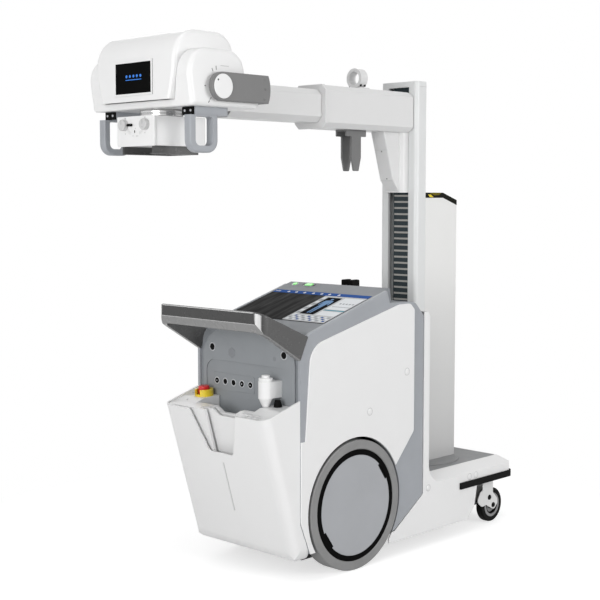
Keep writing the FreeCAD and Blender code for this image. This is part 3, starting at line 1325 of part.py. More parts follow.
def collimator():
    """Box on a swivel collar, with a raised front plate."""
    body = round_box("xy", COLL_FRONT_X + COLL_FACE, COLL_REAR_X, -COLL_HALF, COLL_HALF,
                     COLL_LOW_Z, COLL_TOP_Z, 6)
    face = round_box("yz", -COLL_HALF - 1, COLL_HALF + 1, COLL_LOW_Z - 1, COLL_TOP_Z + 1,
                     COLL_FRONT_X, COLL_FRONT_X + COLL_FACE, 4)
    collar = rod("z", COLL_SWIVEL_R, (coll_x(), 0), COLL_TOP_Z, HEAD_BASE_LOW_Z - SEAT)
    stem = rod("z", COLL_SHAFT_R, (coll_x(), 0), COLL_TOP_Z, HEAD_BASE_LOW_Z + COVER_WALL + 8)
    body = body.fuse([face, collar, stem]).removeSplitter()
    for side in (1, -1):
        place = (side * COLL_KNOB_Y, COLL_KNOB_Z)
        body = body.cut(rod("x", KNOB_STEM_R + FIT, place, COLL_FRONT_X - 1, COLL_FRONT_X + 24))
    window = box(coll_x() - 60, coll_x() + 60, -60, 60, COLL_LOW_Z - 1, COLL_LOW_Z + 4)
    return body.cut(window)


def collimator_rails():
    """Accessory rails under the box: two lipped channels open towards the front."""
    pieces = []
    for side in (1, -1):
        y0, y1 = sorted((side * RAIL_HALF, side * (RAIL_HALF - RAIL_WALL)))
        pieces.append(box(COLL_FRONT_X + COLL_FACE, COLL_REAR_X - 20, y0, y1, RAIL_LOW_Z, COLL_LOW_Z))
        l0, l1 = sorted((side * RAIL_HALF, side * (RAIL_HALF - 18)))
        pieces.append(box(COLL_FRONT_X + COLL_FACE, COLL_REAR_X - 20, l0, l1, RAIL_LOW_Z, RAIL_LOW_Z + 4))
    rear = box(COLL_REAR_X - 26, COLL_REAR_X - 20, -RAIL_HALF, RAIL_HALF, RAIL_LOW_Z, COLL_LOW_Z)
    return pieces[0].fuse(pieces[1:] + [rear]).removeSplitter()


def collimator_knob(side):
    """Round field knob on its stem; the left one carries a small lever."""
    y = side * COLL_KNOB_Y
    front = COLL_FRONT_X - COLL_KNOB_LENGTH
    cap = rod("x", COLL_KNOB_R, (y, COLL_KNOB_Z), front, COLL_FRONT_X - SEAT)
    cap = soften(cap, 3, on_plane("x", [front]))
    stem = rod("x", KNOB_STEM_R, (y, COLL_KNOB_Z), COLL_FRONT_X - SEAT, COLL_FRONT_X + 22)
    pieces = [stem]
    if side > 0:
        lever = rod("y", 3.5, (COLL_FRONT_X - 6, COLL_KNOB_Z), y - COLL_KNOB_R - LEVER_LENGTH + 8,
                    y - COLL_KNOB_R + 3)
        pieces.append(lever)
    return cap.fuse(pieces).removeSplitter()


def save(name, shape):
    shape = shape.copy()
    shape.translate(SHIFT)
    shape.exportStep("parts/" + name + ".step")


def parts():
    insert = bin_insert().cut(estop_bore()).cut(knob_bore())
    single = {
        "chassis_frame": chassis_frame(), "base_cover": base_cover(), "deck_plate": deck_plate(),
        "bumper_strip": bumper_strip(), "power_units": power_units(), "arm_dock": arm_dock(),
        "console_shell": console_shell(), "front_panel": front_panel(), "front_inserts": front_inserts(),
        "display_glass": display_glass(), "power_button": power_button(), "start_button": start_button(),
        "push_handle": push_handle(), "detector_bin": detector_bin(), "bin_insert": insert,
        "estop_collar": estop_collar(), "estop_button": estop_button(), "rotary_knob": rotary_knob(),
        "switch_holster": switch_holster(), "hand_switch": hand_switch(),
        "hand_switch_trigger": hand_switch_trigger(), "turntable": turntable(),
        "column_profile": column_profile(), "column_cap": column_cap(), "belt_panel": belt_panel(),
        "belt_bars": belt_bars(), "tower_cover": tower_cover(), "hazard_pad": hazard_pad(),
        "balance_weight": balance_weight(), "carriage": carriage(), "outer_arm": outer_arm(),
        "arm_end_frame": arm_end_frame(), "cable_ring": cable_ring(), "dock_hook": dock_hook(),
        "inner_arm": inner_arm(), "yoke": yoke(), "pivot_caps": pivot_caps(), "head_base": head_base(),
        "head_cover": head_cover(), "head_display": head_display(), "tube_housing": tube_housing(),
        "head_grips": head_grips(), "collimator": collimator(), "collimator_rails": collimator_rails(),
        "collimator_knob_left": collimator_knob(1), "collimator_knob_right": collimator_knob(-1),
    }
    paired = {
        "tyre": tyre(), "wheel_ring": wheel_ring(), "hub_disc": hub_disc(), "side_trim": side_trim(),
        "side_panel": side_panel(), "caster_fork": caster_fork(), "caster_wheel": caster_wheel(),
    }
    for name, shape in paired.items():
        single[name + "_left"] = shape
        single[name + "_right"] = mirrored(shape)
    return single


os.makedirs("parts", exist_ok=True)
for node, solid in parts().items():
    save(node, solid)
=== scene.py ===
"""Looks of the mobile x-ray machine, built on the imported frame.

Places are written as in the part's source: millimetres from the drive axle (x), the centre
plane (y) and the floor (z). at() turns them into metres in the row frame.
"""
import json
from math import atan, cos, pi, radians, sin

import bmesh
import bpy
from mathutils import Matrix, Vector


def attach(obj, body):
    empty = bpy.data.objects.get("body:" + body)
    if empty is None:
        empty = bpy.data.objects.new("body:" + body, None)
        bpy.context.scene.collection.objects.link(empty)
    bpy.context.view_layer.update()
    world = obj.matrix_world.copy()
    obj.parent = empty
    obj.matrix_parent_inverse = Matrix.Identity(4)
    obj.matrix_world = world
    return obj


AXLE_X = 104.5
TOP_REAR_X = 215
TOP_REAR_Z = 1077
TOP_SLOPE = 0.305
TOP_LEAN = atan(TOP_SLOPE)

PANEL_FACE = -299.9
SOCKET_FACE = -297.4
SOCKET_Z = 720
SOCKET_YS = [173 - 47 * i for i in range(5)]

BIN_FRONT_X = -482
BIN_TOP_Z = 637
BIN_LEAN = 0.294
DECK_Z = 652.3
KEY_PLACE = (-404, 226)

SIDE_FACE = 287.9
FLANK_FACE = 284.9
WHEEL_CENTRE = (0, 252)
RING_FACE = 286.8
CASTER_CENTRE = (950, 75)
CASTER_BOLT = (922, 113)
CASTER_Y = 228

BELT_FACE = 605.05
BAR_LOW_Z = 390
BAR_PITCH = 26
BAR_HEIGHT = 9
BAR_COUNT = 57
PAD_SIDE = 97.9
PAD_TOP_Z = 1448

YOKE_FACE = 299.9
PIVOT = (-686, 1800)
HEAD_SIDE = 272.9
HEAD_FACE = -829.4
DISPLAY_FACE = -827.9
SWIVEL_CENTRE = (-705.5, 0)
BEAM_FACE = -820.9
KNOB_FACE = -838.9

CAMERA_PLACE = (-3492.1, -3396.0, 1440.0)
CAMERA_DOWN = 4.867
CAMERA_TURN = 45.69
WORLD_LIGHT = 0.38
FLOOR_TONE = 0.62
FLOOR_NEAR = 1.1
FLOOR_FAR = 1.7


def at(x, y, z):
    return Vector(((x - AXLE_X) / 1000, y / 1000, z / 1000))


def top_z(x):
    """Height of the console's sloping top."""
    return TOP_REAR_Z - TOP_SLOPE * (TOP_REAR_X - x)


def gusset_x(z):
    """Front of the carriage's gusset, which leans back towards its lower end."""
    return 446 + 61 * (1700 - z) / 200


def bin_front_x(z):
    return BIN_FRONT_X + BIN_LEAN * (BIN_TOP_Z - z)


PLANES = {
    "xz": lambda u, v, w: (u, w, v),
    "yz": lambda u, v, w: (w, u, v),
    "xy": lambda u, v, w: (u, v, w),
    "top": lambda u, v, w: (u - w * sin(TOP_LEAN), v, top_z(u) + w * cos(TOP_LEAN)),
}


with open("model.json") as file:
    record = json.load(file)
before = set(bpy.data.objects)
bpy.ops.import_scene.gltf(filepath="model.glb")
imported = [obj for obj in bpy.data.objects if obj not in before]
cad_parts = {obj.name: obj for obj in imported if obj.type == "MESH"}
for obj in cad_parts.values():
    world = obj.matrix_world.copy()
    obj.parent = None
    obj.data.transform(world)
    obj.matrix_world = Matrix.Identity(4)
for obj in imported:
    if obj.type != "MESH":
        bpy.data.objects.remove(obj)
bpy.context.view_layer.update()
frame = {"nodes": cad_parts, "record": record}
NODES = frame["nodes"]


# Materials

def link(tree, source, target):
    tree.links.new(source, target)


def noise(tree, coords, scale, detail=3.0, rough=0.55):
    node = tree.nodes.new("ShaderNodeTexNoise")
    node.inputs["Scale"].default_value = scale
    node.inputs["Detail"].default_value = detail
    node.inputs["Roughness"].default_value = rough
    link(tree, coords, node.inputs["Vector"])
    return node.outputs["Fac"]


def remap(tree, value, low, high, start=0.3, end=0.7):
    node = tree.nodes.new("ShaderNodeMapRange")
    node.inputs["From Min"].default_value = start
    node.inputs["From Max"].default_value = end
    node.inputs["To Min"].default_value = low
    node.inputs["To Max"].default_value = high
    link(tree, value, node.inputs["Value"])
    return node.outputs["Result"]


def mix_colour(tree, factor, one, two):
    node = tree.nodes.new("ShaderNodeMix")
    node.data_type = "RGBA"
    for socket, value in (("A", one), ("B", two)):
        target = next(s for s in node.inputs if s.name == socket and s.type == "RGBA")
        if isinstance(value, bpy.types.NodeSocket):
            link(tree, value, target)
        else:
            target.default_value = (*value, 1)
    factor_in = next(s for s in node.inputs if s.name == "Factor" and s.type == "VALUE")
    link(tree, factor, factor_in)
    return next(s for s in node.outputs if s.type == "RGBA")


def along(tree, coords, way, low, high):
    """0 to 1 from one height to the other along a direction."""
    dot = tree.nodes.new("ShaderNodeVectorMath")
    dot.operation = "DOT_PRODUCT"
    dot.inputs[1].default_value = way
    link(tree, coords, dot.inputs[0])
    return remap(tree, dot.outputs["Value"], 0.0, 1.0, low, high)


def shaded_tower(tree, coords, shade):
    """Greyer towards the foot, which the deck and the console shade."""
    dusk = along(tree, coords, (0, 0, 1), 0.25, 1.15)
    return mix_colour(tree, dusk, (0.52, 0.52, 0.52), shade)


# Way that each painted highlight on the handle's rims and corners faces, and how closely a face has to share
# it
HANDLE_PAINTED_HIGHLIGHTS = (
    ((-0.87, 0, 0.5), 0.94, 0.98), ((-0.955, 0, -0.296), 0.99, 0.997),
    ((-0.80, -0.60, 0.0), 0.965, 0.98), ((-0.80, 0.60, 0.0), 0.965, 0.98),
)


def handle_painted_reflections(tree, coords, shade):
    """Painted light by the way each face looks: dark front, mid-grey flanks, pale chamfers below as a
    painted reflection of the floor, and painted highlights on rims and corners.
    """
    facing = tree.nodes.new("ShaderNodeNewGeometry").outputs["True Normal"]
    # Faces that look down get a painted reflection of the floor
    low = along(tree, facing, (0, 0, -1), 0.15, 0.4)
    # Flanks are painted lighter than the front, as light falls on them
    for way in ((0, 1, 0), (0, -1, 0)):
        shade = mix_colour(tree, along(tree, facing, way, 0.8, 0.97), shade, (0.085, 0.085, 0.085))
    shade = mix_colour(tree, low, shade, (0.24, 0.24, 0.24))
    # Painted highlights along the rims and round the near and far corners
    for way, start_at, full_at in HANDLE_PAINTED_HIGHLIGHTS:
        shade = mix_colour(tree, along(tree, facing, way, start_at, full_at), shade, (0.62, 0.62, 0.62))
    return shade


def streaks(tree, coords, shade):
    """Soft lighter streaks across a dark screen."""
    spread = tree.nodes.new("ShaderNodeMapping")
    spread.inputs["Rotation"].default_value = (0, 0, 0.5)
    spread.inputs["Scale"].default_value = (5.0, 34.0, 5.0)
    link(tree, coords, spread.inputs["Vector"])
    soft = noise(tree, spread.outputs["Vector"], 1.0, 4.0, 0.6)
    return mix_colour(tree, remap(tree, soft, 0.0, 1.0, 0.42, 0.75), shade, (0.085, 0.085, 0.085))


# By slot name: the frame brings materials of its own, so Blender may rename one of these
MATERIALS = {}


def finish(name, colour, rough=0.4, metal=0.0, coat=0.0, grain=900.0, depth=0.00003, blotch=0.03,
           edge=0.0012, specular=0.5, pattern=None, glow=0.0):
    """Base of every material: colour and gloss that drift a little, a fine grain and soft edges."""
    material = bpy.data.materials.new(name)
    material.use_nodes = True
    tree = material.node_tree
    shader = tree.nodes["Principled BSDF"]
    coords = tree.nodes.new("ShaderNodeTexCoord").outputs["Object"]
    drift = noise(tree, coords, 7.0)
    darker = tuple(c * (1 - blotch) for c in colour)
    lighter = tuple(min(1.0, c * (1 + blotch)) for c in colour)
    shade = mix_colour(tree, remap(tree, drift, 0.0, 1.0), darker, lighter)
    if pattern:
        shade = pattern(tree, coords, shade)
    link(tree, shade, shader.inputs["Base Color"])
    if glow:
        link(tree, shade, shader.inputs["Emission Color"])
        shader.inputs["Emission Strength"].default_value = glow
    smear = noise(tree, coords, 24.0, 5.0)
    link(tree, remap(tree, smear, rough - 0.05, rough + 0.05), shader.inputs["Roughness"])
    shader.inputs["Metallic"].default_value = metal
    shader.inputs["Coat Weight"].default_value = coat
    shader.inputs["Coat Roughness"].default_value = 0.12
    shader.inputs["Specular IOR Level"].default_value = specular
    bevel = tree.nodes.new("ShaderNodeBevel")
    bevel.samples = 8
    bevel.inputs["Radius"].default_value = edge
    bump = tree.nodes.new("ShaderNodeBump")
    bump.inputs["Distance"].default_value = depth
    link(tree, noise(tree, coords, grain, 2.0), bump.inputs["Height"])
    link(tree, bevel.outputs["Normal"], bump.inputs["Normal"])
    link(tree, bump.outputs["Normal"], shader.inputs["Normal"])
    MATERIALS[name] = material
    return material


def matt(name, colour, glow=0.0, pattern=None):
    """Finish of what the screen shows, without any gloss."""
    finish(name, colour, 0.7, specular=0.0, glow=glow, pattern=pattern)


finish("shell_white", (0.80, 0.80, 0.80), 0.34, coat=0.15, blotch=0.006, edge=0.0022)
finish("console_grey", (0.245, 0.258, 0.275), 0.5, specular=0.1)
finish("panel_grey", (0.275, 0.29, 0.305), 0.48, specular=0.2)
finish("trim_grey", (0.34, 0.355, 0.38), 0.42, specular=0.3)
# The handle's pattern paints its reflections and highlights by the way each face looks
finish("dark_grey", (0.045, 0.045, 0.045), 0.26, depth=0.00001, specular=0.4, pattern=handle_painted_reflections)
finish("deck_grey", (0.27, 0.273, 0.278), 0.6, specular=0.3, grain=1500.0, depth=0.00008)
finish("yoke_paint", (0.18, 0.18, 0.18), 0.42, specular=0.3)
finish("tower_paint", (0.80, 0.80, 0.79), 0.36, coat=0.1, blotch=0.008, pattern=shaded_tower)
finish("column_paint", (0.72, 0.73, 0.73), 0.38, coat=0.1, blotch=0.01)
finish("arm_paint", (0.72, 0.72, 0.72), 0.36, coat=0.1, blotch=0.008)
finish("tyre_grey", (0.235, 0.235, 0.235), 0.72, grain=700.0, depth=0.00015, blotch=0.08)
finish("ring_black", (0.004, 0.004, 0.004), 0.5, blotch=0.1, specular=0.01)
finish("hub_grey", (0.36, 0.37, 0.39), 0.42, coat=0.1)
finish("knob_grey", (0.56, 0.56, 0.56), 0.4)
finish("rubber_black", (0.004, 0.004, 0.004), 0.6, grain=1200.0, depth=0.0001, blotch=0.15,
       specular=0.06)
finish("glass_black", (0.03, 0.03, 0.03), 0.5, grain=60.0, depth=0.000002, specular=0.0)
finish("frame_steel", (0.03, 0.03, 0.033), 0.55)
finish("fork_steel", (0.74, 0.74, 0.74), 0.35, coat=0.1)
finish("belt_slate", (0.042, 0.055, 0.062), 0.5, grain=1500.0, depth=0.0001, specular=0.1)
finish("hazard_stripes", (0.008, 0.008, 0.006), 0.5, specular=0.06)
finish("hazard_yellow", (0.75, 0.58, 0.02), 0.5)
# Darker copy of the hazard yellow: painted shade for the upper flank bands
finish("hazard_dim", (0.14, 0.11, 0.006), 0.5, specular=0.1)
finish("weight_iron", (0.05, 0.05, 0.052), 0.7, metal=0.6, grain=300.0, depth=0.0004)
finish("estop_yellow", (0.80, 0.60, 0.03), 0.4, coat=0.2)
finish("estop_red", (0.60, 0.012, 0.015), 0.35, coat=0.2)
finish("button_green", (0.16, 0.85, 0.12), 0.3, coat=0.3, glow=0.25)
finish("tube_metal", (0.55, 0.56, 0.57), 0.35, metal=0.9, grain=500.0, depth=0.0001)
finish("screw_black", (0.004, 0.004, 0.004), 0.4, blotch=0.1, specular=0.04)
finish("screw_grey", (0.16, 0.16, 0.16), 0.4, metal=0.3)
finish("print_grey", (0.22, 0.22, 0.22), 0.5)
finish("belt_pale", (0.40, 0.39, 0.37), 0.5, specular=0.1)
# Faint grey of prints and seams, also used for the painted shade in the bin's groove
finish("faint_print_and_painted_shade", (0.55, 0.55, 0.55), 0.5)
finish("rim_light", (0.52, 0.53, 0.55), 0.35, coat=0.1)
finish("rim_grey", (0.22, 0.22, 0.225), 0.45)
finish("mesh_grey", (0.22, 0.23, 0.245), 0.55, grain=2500.0, depth=0.0003)
finish("bright_metal", (0.62, 0.62, 0.62), 0.22, metal=0.85, grain=400.0)
matt("screen_dark", (0.036, 0.036, 0.036), glow=0.15, pattern=streaks)
matt("screen_black", (0.018, 0.018, 0.02))
matt("screen_blue", (0.045, 0.10, 0.30), glow=0.2)
matt("screen_pale", (0.56, 0.57, 0.58), glow=0.1)
matt("screen_white", (0.72, 0.74, 0.76), glow=0.15)
matt("screen_grey", (0.36, 0.38, 0.40), glow=0.1)
matt("screen_teal", (0.10, 0.30, 0.38), glow=0.15)
matt("screen_figure", (0.17, 0.28, 0.46), glow=0.2)
finish("standby_blue", (0.01, 0.12, 0.45), 0.3, glow=0.7)

for entry in frame["record"]["subparts"]:
    node = NODES[entry["node"]]
    node.data.materials.clear()
    node.data.materials.append(MATERIALS[entry["material_slot"]])


# Small pieces, in millimetres of the part's axes

def start():
    return bmesh.new()


def extrude(form, plane, points, lo, hi, slot=0):
    """Outline drawn out along the plane's normal, from lo to hi."""
    put = PLANES[plane]
    low = [form.verts.new(put(u, v, lo)) for u, v in points]
    high = [form.verts.new(put(u, v, hi)) for u, v in points]
    faces = [form.faces.new(low), form.faces.new(high)]
    for i in range(len(points)):
        k = (i + 1) % len(points)
        faces.append(form.faces.new((low[i], low[k], high[k], high[i])))
    for face in faces:
        face.material_index = slot


def turn(form, plane, centre, profile, slot=0, steps=32):
    """Profile of (radius, height) points turned round the plane's normal."""
    put = PLANES[plane]
    rows = []
    for radius, w in profile:
        if radius == 0:
            rows.append([form.verts.new(put(*centre, w))] * steps)
            continue
        rows.append([form.verts.new(put(centre[0] + radius * cos(2 * pi * i / steps),
                                        centre[1] + radius * sin(2 * pi * i / steps), w))
                     for i in range(steps)])
    for one, two in zip(rows, rows[1:]):
        for i in range(steps):
            k = (i + 1) % steps
            corners = list(dict.fromkeys((one[i], one[k], two[k], two[i])))
            form.faces.new(corners).material_index = slot


def screw(form, plane, centre, radius, face, out, slot=0):
    """Round head with a rounded edge and a socket; out is its height, with the side's sign."""
    turn(form, plane, centre, [
        (0, face + out * 0.35), (radius * 0.38, face + out * 0.35), (radius * 0.38, face + out),
        (radius * 0.78, face + out), (radius * 0.95, face + out * 0.8), (radius, face + out * 0.5),
        (radius, face)], slot)


def cap(form, plane, centre, radius, face, out, slot=0):
    """Plain plug with a domed face."""
    turn(form, plane, centre, [
        (0, face + out), (radius * 0.5, face + out * 0.94), (radius * 0.85, face + out * 0.7),
        (radius, face + out * 0.25), (radius, face)], slot)


def ring(form, plane, centre, bore, radius, face, out, slot=0):
    middle = (bore + radius) / 2
    turn(form, plane, centre, [
        (bore, face), (bore, face + out * 0.6), (middle, face + out), (radius, face + out * 0.6),
        (radius, face)], slot)


def frame_of(form, plane, u0, u1, v0, v1, width, lo, hi, slot=0):
    """Rectangular frame with mitred corners."""
    outer = [(u0, v0), (u1, v0), (u1, v1), (u0, v1)]
    inner = [(u0 + width, v0 + width), (u1 - width, v0 + width),
             (u1 - width, v1 - width), (u0 + width, v1 - width)]
    for i in range(4):
        k = (i + 1) % 4
        extrude(form, plane, [outer[i], outer[k], inner[k], inner[i]], lo, hi, slot)


def add(name, form, body, *slots, bevel=0.0):
    """Turns the form into an object in the row frame that rides on a body."""
    bmesh.ops.recalc_face_normals(form, faces=form.faces)
    for vert in form.verts:
        vert.co = at(*vert.co)
    mesh = bpy.data.meshes.new(name)
    form.to_mesh(mesh)
    form.free()
    piece = bpy.data.objects.new(name, mesh)
    bpy.context.scene.collection.objects.link(piece)
    for slot in slots:
        mesh.materials.append(MATERIALS[slot])
    if bevel:
        round_off = piece.modifiers.new("edge", "BEVEL")
        round_off.width = bevel / 1000
        round_off.segments = 2
        round_off.limit_method = "ANGLE"
    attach(piece, body)


def rect(u0, u1, v0, v1):
    return [(u0, v0), (u1, v0), (u1, v1), (u0, v1)]


SIDES = (1, -1)


# Console screen and buttons

def screen_back():
    """Dark picture area, pale control area and the blue bar along the rear edge."""
    form = start()
    extrude(form, "top", rect(-157, 91, -41, 261), 0.05, 0.3, 0)
    extrude(form, "top", rect(-157, 91, -261, -42), 0.05, 0.3, 1)
    extrude(form, "top", rect(91.5, 119, -261, 261), 0.05, 0.3, 2)
    add("screen_back", form, "base", "screen_dark", "screen_pale", "screen_blue")


def screen_bar_marks():
    form = start()
    for y in (250, 244, 236, 229):
        extrude(form, "top", rect(101, 109, y - 2, y + 2), 0.3, 0.45)
    for y in (178, 134, 88, 39, -7, -50, -101):
        blob = [(99, y - 5), (104, y - 7), (111, y - 3), (112, y + 3), (104, y + 7), (99, y + 5)]
        extrude(form, "top", blob, 0.3, 0.45)
    add("screen_bar_marks", form, "base", "screen_white")


def screen_panels():
    """Body chart, value field, dividing line and key rows of the control area."""
    form = start()
    extrude(form, "top", rect(-91, 76, -146, -70), 0.3, 0.42, 0)
    extrude(form, "top", rect(-33, 80, -256, -158), 0.3, 0.42, 1)
    for y in range(-250, -170, 16):
        extrude(form, "top", rect(20, 30, y, y + 9), 0.42, 0.52, 2)
    extrude(form, "top", rect(-8, -4, -258, -166), 0.42, 0.52, 2)
    extrude(form, "top", rect(-46, -38, -261, -156), 0.42, 0.52, 3)
    extrude(form, "top", rect(-92, -52, -256, -158), 0.3, 0.42, 4)
    add("screen_panels", form, "base", "screen_black", "screen_white", "screen_grey", "screen_teal",
        "screen_white")


def screen_figure():
    """Plain outline of a standing person inside the body chart."""
    form = start()
    turn(form, "top", (58, -108), [(0, 0.55), (7, 0.55), (7, 0.42)], 0, 16)
    half = [(48, 5), (44, 20), (30, 24), (2, 27), (2, 21), (26, 16), (0, 13), (-40, 12), (-78, 10), (-78, 3),
            (-20, 2)]
    points = [(u, -108 + v) for u, v in half] + [(u, -108 - v) for u, v in reversed(half)]
    extrude(form, "top", points, 0.42, 0.55)
    add("screen_figure", form, "base", "screen_figure")


def screen_keys():
    """Column of tool keys beside the picture, and rows of keys along the front."""
    form = start()
    for i in range(9):
        x = 68 - 21 * i
        extrude(form, "top", rect(x - 7, x + 7, -66, -49), 0.3, 0.45, 0 if i % 2 == 0 else 1)
    for row in range(3):
        for column in range(12):
            x, y = -110 - 16 * row, -58 - 17 * column
            tone = (row * 5 + column * 3) % 4
            extrude(form, "top", rect(x - 5, x + 5, y - 6, y + 6), 0.3, 0.45, (0, 1, 0, 2)[tone])
    add("screen_keys", form, "base", "screen_white", "screen_grey", "screen_blue")


def button_frames():
    form = start()
    ring(form, "top", (186, 222), 10.8, 14.5, -0.2, 1.2)
    frame_of(form, "top", 173, 199, 118, 166, 2.4, -0.2, 1.0, 0)
    for y in (113, 171):
        extrude(form, "top", rect(178, 194, y - 4, y + 4), 0.0, 0.5, 1)
    add("button_frames", form, "base", "rim_light", "screw_black", bevel=0.4)


# Console front

def front_rims():
    """Rims of the sockets and the rubber buffers, the sockets' black mouths and centre pins."""
    form = start()
    for y in SOCKET_YS:
        ring(form, "yz", (y, SOCKET_Z), 10.8, 14.2, SOCKET_FACE, -1.6)
        turn(form, "yz", (y, SOCKET_Z), [
            (0, SOCKET_FACE - 0.8), (11.0, SOCKET_FACE - 0.8), (11.0, SOCKET_FACE + 0.2)], 1)
    for side in SIDES:
        ring(form, "yz", (side * 197, 850), 13.2, 16.6, PANEL_FACE, -1.4)
    for i in (0, 3, 4):
        cap(form, "yz", (SOCKET_YS[i], SOCKET_Z), 2.6, SOCKET_FACE - 1.6, -1.5)
    add("front_rims", form, "base", "rim_light", "screw_black")


def speaker_plate():
    form = start()
    points = [(85.7 + 21 * cos(pi * i / 3 + pi / 6), 836 + 21 * sin(pi * i / 3 + pi / 6)) for i in range(6)]
    extrude(form, "yz", points, PANEL_FACE - 0.8, PANEL_FACE)
    cap(form, "yz", (-148, 833), 9, PANEL_FACE, -0.8)
    add("speaker_plate", form, "base", "mesh_grey", bevel=0.3)


def key_mark():
    """Key slot of the left deck."""
    form = start()
    turn(form, "xy", KEY_PLACE, [(0, 652.5), (7, 652.5), (9, 651.5), (9, 646)], 0)
    extrude(form, "xy", [(-412, 221), (-400, 223), (-394, 231), (-401, 229)], DECK_Z, DECK_Z + 1, 1)
    add("key_mark", form, "base", "shell_white", "screw_black")


# Belt and pad

def belt_strips():
    """Pale face of each bar on the belt."""
    form = start()
    for i in range(BAR_COUNT):
        z = BAR_LOW_Z + BAR_PITCH * i
        extrude(form, "yz", rect(-39, 38, z + 0.5, z + BAR_HEIGHT - 0.5), BELT_FACE - 0.3, BELT_FACE)
    add("belt_strips", form, "column", "belt_pale")


def hazard_bands():
    """Yellow bands on the pad's flanks and top; the upper flank bands are a darker yellow, painted shade."""
    form = start()
    for side in SIDES:
        lo, hi = sorted((side * PAD_SIDE, side * (PAD_SIDE + 0.4)))
        extrude(form, "xz", [(666, 1440), (684, 1440), (704, 1428), (690, 1428), (676, 1430)], lo, hi, 0)
        # Upper flank band in the darker yellow: painted shade
        extrude(form, "xz", [(676, 1447), (756, 1447), (740, 1438), (706, 1436), (694, 1441)], lo, hi, 1)
    for x in (664, 712):
        band = [(x, -90), (x + 22, -90), (x + 52, 90), (x + 30, 90)]
        extrude(form, "xy", band, PAD_TOP_Z - 0.1, PAD_TOP_Z + 0.3, 0)
    add("hazard_bands", form, "base", "hazard_yellow", "hazard_dim")


def bin_groove():
    """Painted shade: a grey strip over the bottom of the groove in the bin's front."""
    form = start()
    ends = [(bin_front_x(z), z) for z in (440, 248)]
    points = [(x + 1.5, z) for x, z in ends] + [(x + 2.1, z) for x, z in reversed(ends)]
    extrude(form, "xz", points, -2.9, 2.9)
    add("bin_groove", form, "base", "faint_print_and_painted_shade")


# Wheels

def ring_bands():
    """Black band over each hub ring, and a pale line along the tyre's outer edge."""
    for name, side in (("left", 1), ("right", -1)):
        form = start()
        low, high = side * RING_FACE, side * (RING_FACE + 1.6)
        turn(form, "xz", WHEEL_CENTRE, [(194.3, low), (194.3, high), (214.2, high), (214.2, low)], 0, 96)
        ring(form, "xz", WHEEL_CENTRE, 251.0, 252.3, side * (RING_FACE - 0.3), side * 0.4, 1)
        add("ring_band_" + name, form, "wheel_" + name, "ring_black", "rim_light")


# Casing

def side_caps():
    """Screw covers of the side panels and of the base's flanks."""
    form = start()
    for side in SIDES:
        for x, z in ((302, 738), (78, 605)):
            cap(form, "xz", (x, z), 12.5, side * SIDE_FACE, side * 2.6)
            ring(form, "xz", (x, z), 13.2, 15.4, side * SIDE_FACE, side * 0.4, 1)
        for x, z in ((447, 242), (729, 242), (774, 243)):
            cap(form, "xz", (x, z), 12.0, side * FLANK_FACE, side * 2.6)
            ring(form, "xz", (x, z), 12.7, 14.6, side * FLANK_FACE, side * 0.4, 1)
    add("side_caps", form, "base", "shell_white", "faint_print_and_painted_shade")


# Casters

def caster_bolts():
    for name, y in (("left", CASTER_Y), ("right", -CASTER_Y)):
        form = start()
        for side in SIDES:
            face = y + side * 23.2
            cap(form, "xz", CASTER_BOLT, 11.5, face, side * 4.5)
            cap(form, "xz", CASTER_CENTRE, 11.5, face, side * 5.5)
        add("caster_bolts_" + name, form, "fork_" + name, "screw_black")


def caster_rims():
    for name, y in (("left", CASTER_Y), ("right", -CASTER_Y)):
        form = start()
        for side in SIDES:
            ring(form, "xz", CASTER_CENTRE, 41, 53, y + side * 15.6, side * 1.0, 0)
            ring(form, "xz", CASTER_CENTRE, 17, 33, y + side * 7.0, side * 1.5, 0)
            ring(form, "xz", CASTER_CENTRE, 36, 39, y + side * 15.0, side * 0.8, 1)
        add("caster_rims_" + name, form, "roller_" + name, "rim_grey", "screw_black")


# Column, carriage and arm

def arm_screws():
    """Screws of the cable ring's foot."""
    form = start()
    for x in (309, 333):
        screw(form, "xz", (x, 1881), 4.6, -28.0, -4.5)
        screw(form, "xz", (x, 1881), 4.6, 28.0, 4.5)
    add("ring_screws", form, "lift", "screw_black")


def gusset_marks():
    """Screws and faint seams of the gusset's cover."""
    form = start()
    for z in (1619, 1506):
        x = gusset_x(z)
        turn(form, "yz", (-4, z), [(0, x - 1.4), (2.8, x - 1.2), (3.4, x + 1.5)], 0, 16)
    for z in (1625, 1498):
        x = gusset_x(z)
        extrude(form, "yz", rect(-35, 35, z - 0.6, z + 0.6), x - 0.35, x + 1.5, 1)
    add("gusset_marks", form, "lift", "screw_grey", "faint_print_and_painted_shade")


def cap_seam():
    """Faint line where the column's top cap begins."""
    form = start()
    for side in SIDES:
        extrude(form, "xz", rect(604, 646, 1890.2, 1891.8), side * 98.5, side * 98.8, 0)
    add("cap_seam", form, "column", "faint_print_and_painted_shade")


# Yoke and head

def yoke_screws():
    form = start()
    for side in SIDES:
        for x, z in ((-495, 1835), (-490, 1800), (-495, 1766)):
            screw(form, "xz", (x, z), 4.6, side * YOKE_FACE, side * 1.6)
    add("yoke_screws", form, "fork", "screw_grey")


def pivot_dots():
    form = start()
    for side in SIDES:
        cap(form, "xz", (PIVOT[0] - 25, PIVOT[1] + 20), 3.2, side * (YOKE_FACE + 3), side * 0.5)
    add("pivot_dots", form, "fork", "screw_black")


